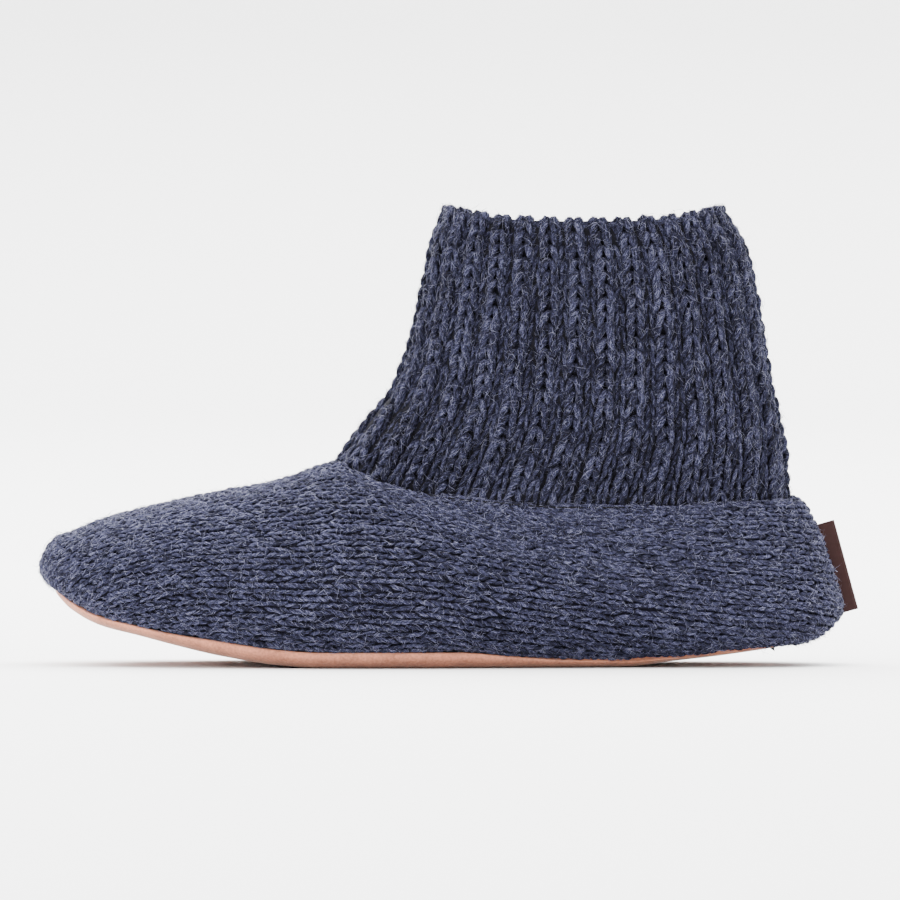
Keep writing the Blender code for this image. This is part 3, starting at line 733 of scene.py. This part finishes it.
def nap_suede(colours):
    """Split suede, brushed: warm tan, clouded by the nap, with a fine speckle."""
    finish, tree = new_material("brushed_suede")
    base = colours.suede
    place = add_node(tree, "TexCoord").outputs["Object"]
    clouds = add_node(tree, "TexNoise", {"Vector": place, "Scale": 110.0, "Detail": 5.0,
                                         "Roughness": 0.6})
    speckle = add_node(tree, "TexNoise", {"Vector": place, "Scale": 1100.0, "Detail": 2.0})
    level = add_node(tree, "Math", {0: clouds.outputs["Fac"], 1: speckle.outputs["Fac"]},
                     operation="ADD")
    level = add_node(tree, "Math", {0: level.outputs[0], 1: 0.5}, operation="MULTIPLY")
    stops = [(0.32, scaled(base, 0.62)), (0.5, base), (0.66, scaled(base, 1.28))]
    colour = add_node(tree, "ValToRGB", {"Fac": level.outputs[0]}, stops)
    # Painted shade: faces that look down are made darker, to half the colour where they face
    # straight down
    facing = add_node(tree, "SeparateXYZ", {"Vector": add_node(tree,
                                                               "NewGeometry").outputs["Normal"]})
    painted_underside_shade = add_node(tree, "MapRange", {"Value": facing.outputs["Z"], "From Min": -1.0,
                                       "From Max": -0.3, "To Min": 0.5, "To Max": 1.0})
    shaded_suede = add_node(tree, "Mix", {"Factor": 1.0, "A": colour.outputs["Color"],
                                  "B": painted_underside_shade.outputs["Result"]}, data_type="RGBA",
                    blend_type="MULTIPLY")
    shaded_suede_out = [socket for socket in shaded_suede.outputs if socket.type == "RGBA"][0]
    bump = add_node(tree, "Bump", {"Height": level.outputs[0], "Strength": 0.6,
                                   "Distance": 0.0006})
    return surface(finish, {"Base Color": shaded_suede_out, "Normal": bump.outputs[0], "Roughness": 0.9,
                            "IOR": 1.5, "Specular IOR Level": 0.2, "Sheen Weight": 0.3,
                            "Sheen Roughness": 0.5, "Sheen Tint": (1.0, 0.86, 0.76, 1.0)})


def woven_ribbon(colours):
    """Polyester ribbon in taffeta weave: smooth, with a fine cross rib."""
    finish, tree = new_material("taffeta_ribbon")
    base = colours.ribbon
    place = add_node(tree, "TexCoord").outputs["Object"]
    # Picks 0.4 mm apart, coarser than the real 0.2 mm so that they show
    picks = add_node(tree, "TexWave", {"Vector": place, "Scale": 785.0, "Distortion": 0.4},
                     bands_direction="Z")
    grain = add_node(tree, "TexNoise", {"Vector": place, "Scale": 900.0})
    level = add_node(tree, "Math", {0: picks.outputs["Fac"], 1: grain.outputs["Fac"]},
                     operation="ADD")
    stops = [(0.3, scaled(base, 0.88)), (1.0, scaled(base, 1.12))]
    colour = add_node(tree, "ValToRGB", {"Fac": level.outputs[0]}, stops)
    bump = add_node(tree, "Bump", {"Height": level.outputs[0], "Strength": 0.4,
                                   "Distance": 0.0002})
    return surface(finish, {"Base Color": colour.outputs["Color"], "Normal": bump.outputs[0],
                            "Roughness": 0.8, "IOR": 1.57, "Specular IOR Level": 0.08})


def add_mesh(name, points, faces, finish):
    """Smooth-shaded object from points and faces."""
    data = bpy.data.meshes.new(name)
    data.from_pydata(points, [], faces)
    data.update()
    data.shade_smooth()
    data.materials.append(finish)
    item = bpy.data.objects.new(name, data)
    bpy.context.scene.collection.objects.link(item)
    return item


def add_attribute(item, name, kind, values):
    """Store a value for each point of a mesh."""
    attribute = item.data.attributes.new(name, kind, "POINT")
    field = "vector" if kind == "FLOAT_VECTOR" else "value"
    attribute.data.foreach_set(field, np.asarray(values, np.float32).ravel())


def dress(item, slot, *nodes):
    """Make a piece ride on the object and hide the nodes it stands for; its slot is not used."""
    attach(item, BODY)
    if nodes:
        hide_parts(*nodes)


def add_yarn(name, centres, normals, radii, sides, finish, random):
    """Closed tubes of yarn along rows of points, flattened a little on the cloth."""
    count, rings = centres.shape[:2]
    tangents = unit(np.gradient(centres, axis=1))
    across = unit(np.cross(tangents, normals))
    up = np.cross(across, tangents)
    steps = np.linalg.norm(np.diff(centres, axis=1), axis=2)
    travelled = np.concatenate((np.zeros((count, 1)), np.cumsum(steps, 1)), 1) / MM
    angles = np.arange(sides) * 2.0 * math.pi / sides
    circle = np.stack((np.cos(angles), np.sin(angles)), -1)
    points = (centres[:, :, None, :]
              + across[:, :, None, :] * (radii[:, :, None] * circle[:, 0])[..., None]
              + up[:, :, None, :] * (radii[:, :, None] * circle[:, 1] * YARN_FLAT)[..., None])
    starts = (np.arange(count) * rings * sides)[:, None, None]
    ring_starts = (np.arange(rings - 1) * sides)[None, :, None]
    here = np.arange(sides)[None, None, :]
    ahead = (here + 1) % sides
    base = starts + ring_starts
    quads = np.stack((base + here, base + ahead, base + sides + ahead, base + sides + here), -1)
    caps = np.concatenate((starts[:, 0] + np.arange(sides)[::-1][None, :],
                           starts[:, 0] + (rings - 1) * sides + np.arange(sides)[None, :]))
    faces = quads.reshape(-1, 4).tolist() + caps.tolist()
    item = add_mesh(name, points.reshape(-1, 3), faces, finish)
    # Strand space in millimetres: round the twisted yarn, and along it
    twist = angles[None, None, :] + travelled[:, :, None] * YARN_TWIST
    offsets = random.uniform(0.0, 500.0, (count, 1, 1))
    strand = np.stack((np.cos(twist), np.sin(twist),
                       travelled[:, :, None] + offsets + 0.0 * twist), -1)
    add_attribute(item, "strand", "FLOAT_VECTOR", strand)
    tones = np.repeat(random.uniform(0.0, 1.0, count), rings * sides)
    add_attribute(item, "tone", "FLOAT", tones)
    return item


def leg_shape(rings, near, far, low_start, low_end, crest=0.5, arch=1.0, lead=0.0):
    """One leg of a stitch: shares along and across, depth under the cloth, plumpness."""
    part = np.linspace(0.0, 1.0, rings)
    run = 0.5 - part
    spread = near + (far - near) * np.sin(part * math.pi / 2.0) ** arch
    before = np.clip((crest - part) / crest, 0.0, 1.0)
    after = np.clip((part - crest) / (1.0 - crest), 0.0, 1.0)
    depth = low_start * before ** 2 + low_end * after ** 2
    plump = 0.30 + 0.70 * np.sin(math.pi * np.minimum(lead + (1.0 - lead) * part, 0.9999)) ** 0.7
    return run, spread, depth, plump


def foot_columns(sheet, numbers):
    """Unbroken columns of foot stitches: samples, distances down the foot and widths."""
    scale = (FOOT_SECTIONS - 1) / ALL_STEPS
    start = read(WALES, "start", numbers) * MM
    width = read(WALES, "width", numbers) * MM
    lengths = sheet.length(numbers * scale)
    for wale in range(-3, int(lengths.max() / width.min()) + 4):
        down = start + (wale + 0.5) * width
        inside = (down > COLUMN_START * width) & (down < lengths + COLUMN_PAST * width)
        edges = np.flatnonzero(np.diff(np.concatenate(([False], inside, [False])).astype(int)))
        for first, last in zip(edges[::2], edges[1::2]):
            if last - first > 12:
                yield slice(first, last), down, width


def foot_legs(sheet, sizes, random):
    """Yarn legs of all foot stitches on one side: rows of points, normals and radii."""
    scale = (FOOT_SECTIONS - 1) / ALL_STEPS
    numbers = np.linspace(0.0, ALL_STEPS, WALE_SAMPLES)
    radius = sizes.yarn / 2.0
    rows = []
    for span, down, width in foot_columns(sheet, numbers):
        line = numbers[span]
        path = sheet.at(line * scale, down[span])[0]
        travelled = np.concatenate(([0.0], np.cumsum(np.linalg.norm(np.diff(path, axis=0),
                                                                    axis=1))))
        count = max(1, round(travelled[-1] / sizes.course))
        pitch = travelled[-1] / count
        centre = (np.arange(count) + 0.5) * pitch
        drift = random.normal(0.0, FOOT_DRIFT, count)[:, None]
        for side in (-1.0, 1.0):
            run, spread, depth, plump = leg_shape(*FOOT_LEG, arch=1.4)
            uneven = random.normal(0.0, 1.0, (5, count, 1)) * np.reshape(FOOT_UNEVEN, (5, 1, 1))
            stop = centre[:, None] + run[None] * pitch * sizes.overlap + uneven[0]
            here = np.interp(stop, travelled, line)
            wide = np.interp(here, numbers, width)
            away = side * spread[None] * wide * (1.0 + uneven[1]) + drift
            distance = np.interp(here, numbers, down) + away + uneven[2]
            point, normal = sheet.at(here * scale, distance, margin=0.0004)
            room = np.clip((sheet.length(here * scale) - distance) / SEAM_FADE, 0.0, 1.0)
            sunk = read(LIFT, "lift", here) * MM * room - depth[None] - radius * 0.85
            near_seam = np.clip((distance - sheet.length(here * scale)) / HEEL_SAG_REACH + 1.0,
                                0.0, 1.0)
            sunk = sunk + HEEL_SAG * near_seam * np.interp(here, (28.0, 32.0), (0.0, 1.0))
            sunk = sunk + uneven[3]
            thick = radius * plump[None] * (1.0 + uneven[4])
            span_length = np.linalg.norm(point[:, -1] - point[:, 0], axis=1)
            whole = span_length > SHORT_LEG * np.median(span_length)
            rows.append(((point + normal * sunk[..., None])[whole], normal[whole],
                         np.broadcast_to(thick, sunk.shape)[whole], here.mean(1)[whole]))
    return [np.concatenate(part) for part in zip(*rows)]


def rib_legs(sheet, sizes, random, column, rings, start, stop, sinks, reach, radius):
    """Yarn legs of one column of rib stitches between two distances from the collar."""
    line = column * RING_STEPS
    count = max(1, round((stop - start) / sizes.rib_course))
    pitch = (stop - start) / count
    centre = start + (np.arange(count) + 0.5) * pitch
    samples = np.linspace(start, stop, 60)
    whole = RIB_COUNT * RING_STEPS
    own = sheet.at(np.full(60, line % whole, float), samples)[0]
    neighbour = sheet.at(np.full(60, (line + 1.0) % whole), samples)[0]
    spacing = np.linalg.norm(neighbour - own, axis=1)
    drift = random.normal(0.0, RIB_DRIFT, count)[:, None]
    rows = []
    for side in (-1.0, 1.0):
        run, spread, depth, plump = leg_shape(rings, 0.08, 1.0, radius * 1.3, radius * 1.35,
                                              crest=0.4, arch=0.7, lead=0.18)
        uneven = random.normal(0.0, 1.0, (5, count, 1)) * np.reshape(RIB_UNEVEN, (5, 1, 1))
        place = centre[:, None] + run[None] * pitch * sizes.overlap + uneven[0]
        away = side * spread[None] * reach * (1.0 + uneven[1]) + drift
        away = away + uneven[2]
        lines = line + away / np.interp(place, samples, spacing)
        point, normal = sheet.at(lines % whole, place)
        sink = np.interp(place, (start, start + SINK_REACH), sinks)
        sunk = -depth[None] - radius * 0.8 - sink - (away / RIB_CURVE) ** 2 * RIB_FALL
        sunk = sunk + uneven[3]
        thick = radius * plump[None] * (1.0 + uneven[4])
        rows.append((point + normal * sunk[..., None], normal,
                     np.broadcast_to(thick, sunk.shape)))
    return rows


def yarn_places(centres, normals, radii, count, random):
    """Random places on the visible side of yarn legs: points, ways along, ways out."""
    leg = random.integers(0, len(centres), count)
    ring = random.uniform(0.6, centres.shape[1] - 1.6, count)
    cell = ring.astype(int)
    part = (ring - cell)[:, None]
    near, far = centres[leg, cell], centres[leg, cell + 1]
    centre = near * (1.0 - part) + far * part
    along_yarn = unit(far - near)
    normal = normals[leg, cell]
    across = unit(np.cross(along_yarn, normal))
    lean = random.uniform(-1.2, 1.2, (count, 1))
    out = unit(across * np.sin(lean) + normal * np.cos(lean))
    return centre + out * radii[leg, cell][:, None], along_yarn, out


def add_fibres(name, places, finish, random):
    """Loose fibres that lie on the yarn and stand off it: thin closed spindles."""
    start, along_yarn, out = (np.concatenate(part) for part in zip(*places))
    count = len(start)
    side = np.cross(out, along_yarn)
    turn = random.normal(0.0, 0.9, (count, 1))
    way = unit(along_yarn * np.cos(turn) + side * np.sin(turn))
    length = random.gamma(4.0, FIBRE_LENGTH, (count, 1))
    flyaway = random.uniform(0.0, 1.0, (count, 1)) < FLYAWAY
    rise = np.where(flyaway, random.uniform(0.3, 1.1, (count, 1)),
                    random.uniform(-0.10, 0.15, (count, 1))) * length * 0.5
    curl = random.normal(0.0, 0.2, (count, 1)) * length
    bend = start + np.cross(out, way) * curl + out * (0.00008 + rise * 0.35)
    ends = [start - way * length * 0.5, start + way * length * 0.5 + out * rise]
    thick = random.uniform(*FIBRE_RADIUS, (count, 1, 1))
    turns = np.arange(3) * 2.0 * math.pi / 3.0
    circle = (np.cross(out, way)[:, None, :] * np.cos(turns)[None, :, None]
              + out[:, None, :] * np.sin(turns)[None, :, None]) * thick
    points = np.concatenate((ends[0][:, None], bend[:, None] + circle, ends[1][:, None]), 1)
    cones = np.array([(0, 1, 2), (0, 2, 3), (0, 3, 1), (4, 2, 1), (4, 3, 2), (4, 1, 3)])
    faces = ((np.arange(count) * 5)[:, None, None] + cones[None]).reshape(-1, 3).tolist()
    item = add_mesh(name, points.reshape(-1, 3), faces, finish)
    add_attribute(item, "tone", "FLOAT", np.repeat(random.uniform(0.0, 1.0, count), 5))
    return item


def close_sheet(name, points, outward, finish, thickness, wrap=False):
    """Grid of points as a closed wall: the grid is its outside, the wall goes inward."""
    lines, rows = points.shape[:2]
    index = np.arange(lines * rows).reshape(lines, rows)
    ahead = np.roll(index, -1, 0) if wrap else index[1:]
    here = index if wrap else index[:-1]
    quads = np.stack((here[:, :-1], ahead[:, :-1], ahead[:, 1:], here[:, 1:]), -1).reshape(-1, 4)
    corners = points.reshape(-1, 3)[quads]
    facing = np.cross(corners[:, 2] - corners[:, 0], corners[:, 3] - corners[:, 1])
    if (facing * outward.reshape(-1, 3)[quads[:, 0]]).sum() < 0.0:
        quads = quads[:, ::-1]
    item = add_mesh(name, points.reshape(-1, 3), quads.tolist(), finish)
    mesh = bmesh.new()
    mesh.from_mesh(item.data)
    bmesh.ops.remove_doubles(mesh, verts=mesh.verts[:], dist=0.00002)
    mesh.to_mesh(item.data)
    mesh.free()
    wall = item.modifiers.new("wall", "SOLIDIFY")
    wall.thickness = thickness
    wall.offset = -1.0
    return item


class SOCK_OT_foot(bpy.types.Operator):
    """Knit the foot: lengthwise columns of V stitches over a thin inner layer"""

    bl_idname = "sock.foot"
    bl_label = "Knitted foot"

    def execute(self, context):
        sizes = context.scene.sock_sizes
        colours = context.scene.sock_colours
        wool = marled_wool("marled_wool_knit", colours)
        random = np.random.default_rng(41)
        walls, outward, fuzz = [], [], []
        for side, word in ((-1, "outer"), (1, "inner")):
            sheet = foot_sheet(side)
            centres, normals, radii, numbers = foot_legs(sheet, sizes, random)
            for part, chosen in (("front", numbers < PIECE_SPLIT),
                                 ("back", numbers >= PIECE_SPLIT)):
                piece = add_yarn(f"foot_knit_{word}_{part}", centres[chosen], normals[chosen],
                                 radii[chosen], 5, wool, random)
                dress(piece, "wool_knit")
            fuzz.append(yarn_places(centres, normals, radii, sizes.foot_fibres // 2, random))
            inner = sheet.points[::4, ::4] - sheet.normals[::4, ::4] * BACKING_DEPTH
            walls.append(inner[::-1] if side > 0 else inner)
            outward.append(sheet.normals[::4, ::4][::-1 if side > 0 else 1])
        places = np.arange(0.001, sheet.lengths[-1] - 0.001, STITCH_PITCH)
        centre, normal = sheet.at(np.full(len(places), FOOT_SECTIONS - 1.0), places)
        normal = unit(normal * (1.0, 0.0, 1.0))
        along_seam = unit(np.gradient(centre, axis=0))
        part = np.linspace(-1.0, 1.0, 7)[None, :, None]
        rows = (centre[:, None] * (1.0, 0.0, 1.0)
                + np.array((0.0, STITCH_HALF_WIDTH, 0.0)) * part
                + along_seam[:, None] * part * STITCH_LEAN
                + normal[:, None] * (-STITCH_DEPTH - STITCH_BEND * part ** 2)
                + random.normal(0.0, 0.00012, (len(places), 1, 3)))
        thick = STITCH_RADIUS * (1.0 - 0.5 * part[..., 0] ** 4) * np.ones((len(places), 1))
        seam = add_yarn("heel_seam", rows, np.broadcast_to(normal[:, None], rows.shape), thick, 6,
                        wool, random)
        dress(seam, "wool_knit")
        # The foot's inner layer is dark wool: painted shade between the stitches
        backing = close_sheet("foot_backing", np.concatenate(walls), np.concatenate(outward),
                              plain_wool("shaded_wool_back", colours.shade), FOOT_INNER_WALL,
                              wrap=True)
        dress(backing, "wool_knit", "upper")
        dress(add_fibres("foot_fibres", fuzz, fibre_wool("wool_fibres_foot", colours), random),
              "wool_knit")
        return {"FINISHED"}


class SOCK_OT_cuff(bpy.types.Operator):
    """Knit the ribbed cuff, doubled over at the rim"""

    bl_idname = "sock.cuff"
    bl_label = "Ribbed cuff"

    def execute(self, context):
        sizes = context.scene.sock_sizes
        colours = context.scene.sock_colours
        sheet = cuff_sheet()
        # The ribs' wool is a darker copy of the foot's, as painted shade
        wool = marled_wool("marled_wool_rib_shaded", colours, RIB_PAINTED_SHADE)
        random = np.random.default_rng(77)
        radius = sizes.rib_yarn / 2.0
        groups = {row[0]: [] for row in CUFF_KNIT}
        for rib in range(RIB_COUNT):
            outside = sheet.length(np.array([rib * RING_STEPS]))[0] / 2.0
            for name, shift, rings, start, stop, sinks, reach, share, *_ in CUFF_KNIT:
                groups[name] += rib_legs(sheet, sizes, random, rib + shift, rings,
                                         outside * start[0] + start[1],
                                         outside * stop[0] + stop[1], sinks, reach,
                                         radius * share)
        fuzz = []
        for name, *_, share, sides in CUFF_KNIT:
            centres, normals, radii = (np.concatenate(part) for part in zip(*groups[name]))
            dress(add_yarn(name, centres, normals, radii, sides, wool, random), "wool_rib")
            fuzz.append(yarn_places(centres, normals, radii, int(sizes.cuff_fibres * share),
                                    random))
        part = np.linspace(0.0, 1.0, sheet.points.shape[1])[::2]
        depth = np.interp(part, *CUFF_BACKING)
        inner = sheet.points[:-1:4, ::2] - sheet.normals[:-1:4, ::2] * depth[None, :, None]
        # Nearly black wool for the cuff's inner layer and collar seam: painted shade in the
        # valleys and the seam's crease
        painted_shade_wool = plain_wool("shaded_wool_rib", scaled(colours.shade, 0.35))
        backing = close_sheet("cuff_backing", inner, sheet.normals[:-1:4, ::2], painted_shade_wool,
                              CUFF_INNER_WALL, wrap=True)
        dress(backing, "wool_rib", "cuff")
        plan, out, angle = ring(0.0)
        seam = np.stack([np.column_stack((plan + out * offset, cuff_height(angle, 0.0) - drop))
                         for offset, drop in COLLAR_SEAM], 1)[:-1:2]
        up = np.broadcast_to((0.0, 0.0, 1.0), seam.shape)
        dress(close_sheet("collar_seam", seam, up, painted_shade_wool, FOOT_INNER_WALL, wrap=True),
              "wool_rib")
        # The cuff's fibres are darkened the same way, as painted shade
        fibres = fibre_wool("wool_fibres_cuff_shaded", colours, RIB_PAINTED_SHADE)
        dress(add_fibres("cuff_fibres", fuzz, fibres, random), "wool_rib")
        return {"FINISHED"}


def sole_points(across, inset, edge):
    """Grid from the outer to the inner seam line, a row for each section."""
    numbers = np.linspace(0.0, ALL_STEPS, 121)
    outer = seam_plan(numbers, -1, inset)
    inner = seam_plan(numbers, 1, inset)
    if inset:
        wide = (inner - outer)[:, 1] > INSOLE_TIP
        outer, inner = outer[wide], inner[wide]
    places = np.array([-share for share in reversed(across)] + list(across[1:]))
    plan = outer[:, None] + (inner - outer)[:, None] * ((places + 1.0) / 2.0)[None, :, None]
    height = floor_height(plan[..., 0], plan[..., 1])
    if edge:
        half = np.linalg.norm(inner - outer, axis=1)[:, None] / 2.0
        rim = read(UNDERSIDE, "edge", share_of(plan[..., 0])) * SOLE_EDGE - SEAM_GAP
        near = np.maximum(0.0, 1.0 - half * (1.0 - np.abs(places))[None] / SOLE_ROUND)
        height = height + rim * (1.0 - np.sqrt(1.0 - near * near))
    return np.concatenate((plan, height[..., None]), -1)


class SOCK_OT_sole(bpy.types.Operator):
    """Cut the suede sole with its turned-up edge, and the felt insole"""

    bl_idname = "sock.sole"
    bl_label = "Sole and insole"

    def execute(self, context):
        colours = context.scene.sock_colours
        across = list(1.0 - (1.0 - np.linspace(0.0, 1.0, 19)) ** 2)
        points = sole_points(across, 0.0, True)
        down = np.broadcast_to((0.0, 0.0, -1.0), points.shape)
        sole = close_sheet("suede_sole", points, down, nap_suede(colours), SOLE_WALL)
        dress(sole, "suede", "sole")
        points = sole_points(list(np.linspace(0.0, 1.0, 9)), INSOLE_INSET, False)
        points[..., 2] += SOLE_WALL + SEAM_GAP
        down = np.broadcast_to((0.0, 0.0, -1.0), points.shape)
        insole = close_sheet("felt_insole", points, down,
                             plain_wool("pressed_felt", colours.felt), INSOLE_WALL)
        dress(insole, "felt", "insole")
        return {"FINISHED"}


class SOCK_OT_ribbon(bpy.types.Operator):
    """Copy the bare ribbon loop at the heel and push its cut ends into the seam"""

    bl_idname = "sock.ribbon"
    bl_label = "Heel ribbon"

    def execute(self, context):
        colours = context.scene.sock_colours
        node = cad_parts["heel_tag"]
        data = node.data.copy()
        item = bpy.data.objects.new("heel_ribbon", data)
        bpy.context.scene.collection.objects.link(item)
        lean = Vector(RIBBON_WAY).normalized()
        out = Vector((lean.z, 0.0, -lean.x))
        reaches = [corner.co.dot(out) for corner in data.vertices]
        for corner, reach in zip(data.vertices, reaches):
            if reach < (min(reaches) + max(reaches)) / 2.0:
                corner.co -= out * RIBBON_TUCK
        data.materials.clear()
        data.materials.append(woven_ribbon(colours))
        soft = item.modifiers.new("edges", "BEVEL")
        soft.width = 0.0001
        dress(item, "ribbon", "heel_tag")
        return {"FINISHED"}


class SOCK_OT_stage(bpy.types.Operator):
    """Set the pale floor, the softboxes and the camera"""

    bl_idname = "sock.stage"
    bl_label = "Studio"

    def execute(self, context):
        studio = context.scene.sock_studio
        profile = [(-3.0, 0.0), (2.0, 0.0), (3.0, 0.1), (3.8, 0.5), (4.2, 1.2), (4.3, 3.0)]
        points = [(x, y, z - 0.00005) for y, z in profile for x in (-4.0, 4.0)]
        faces = [(step * 2, step * 2 + 1, step * 2 + 3, step * 2 + 2)
                 for step in range(len(profile) - 1)]
        paper = surface(new_material("white_paper")[0],
                        {"Base Color": (0.95, 0.95, 0.95, 1.0), "Roughness": 0.9})
        floor = add_mesh("floor", points, faces, paper)

        world = bpy.data.worlds.new("white_surround")
        world.use_nodes = True
        ground = world.node_tree.nodes["Background"]
        ground.inputs["Color"].default_value = (1.0, 1.0, 1.0, 1.0)
        ground.inputs["Strength"].default_value = studio.fill
        context.scene.world = world
        target = Vector((-0.04, 0.0, 0.06))
        for name, place, size, power in (
                ("softbox_top", (-0.1, 0.9, 2.6), 5.0, studio.softbox),
                ("softbox_front", (-0.9, -1.6, 0.9), 1.0, studio.softbox * 0.02)):
            light = bpy.data.lights.new(name, "AREA")
            light.shape = "SQUARE"
            light.size = size
            light.energy = power
            item = bpy.data.objects.new(name, light)
            item.location = place
            item.rotation_euler = (target - Vector(place)).to_track_quat("-Z", "Y").to_euler()
            context.scene.collection.objects.link(item)

        lens = bpy.data.cameras.new("camera")
        lens.sensor_width = 36.0
        lens.lens = lens.sensor_width * studio.distance / studio.view_width
        lens.clip_end = 50.0
        camera = bpy.data.objects.new("camera", lens)
        camera.location = (VIEW_MIDDLE[0], -studio.distance, VIEW_MIDDLE[1])
        camera.rotation_euler = (math.pi / 2.0, 0.0, 0.0)
        context.scene.collection.objects.link(camera)
        context.scene.camera = camera
        return {"FINISHED"}


class SOCK_PT_panel(bpy.types.Panel):
    """Sidebar list of the slipper sock's settings and pieces"""

    bl_idname = "SOCK_PT_panel"
    bl_label = "Slipper sock"
    bl_space_type = "VIEW_3D"
    bl_region_type = "UI"
    bl_category = "Slipper sock"

    def draw(self, context):
        for group in (context.scene.sock_sizes, context.scene.sock_colours,
                      context.scene.sock_studio):
            box = self.layout.box()
            for name in group.__annotations__:
                box.prop(group, name)
        for operator in OPERATORS:
            self.layout.operator(operator.bl_idname)


OPERATORS = (SOCK_OT_stage, SOCK_OT_foot, SOCK_OT_cuff, SOCK_OT_sole, SOCK_OT_ribbon)
GROUPS = (("sock_sizes", SockSizes), ("sock_colours", SockColours), ("sock_studio", SockStudio))


def register():
    """Register the settings, the operators and the panel."""
    for name, group in GROUPS:
        bpy.utils.register_class(group)
        setattr(bpy.types.Scene, name, PointerProperty(type=group))
    for kind in (*OPERATORS, SOCK_PT_panel):
        bpy.utils.register_class(kind)


def unregister():
    """Take the settings, the operators and the panel away again."""
    for kind in reversed((*OPERATORS, SOCK_PT_panel)):
        bpy.utils.unregister_class(kind)
    for name, group in reversed(GROUPS):
        delattr(bpy.types.Scene, name)
        bpy.utils.unregister_class(group)


def main():
    """Build every piece."""
    register()
    bpy.ops.sock.stage()
    bpy.ops.sock.foot()
    bpy.ops.sock.cuff()
    bpy.ops.sock.sole()
    bpy.ops.sock.ribbon()


if __name__ == "__main__":
    main()
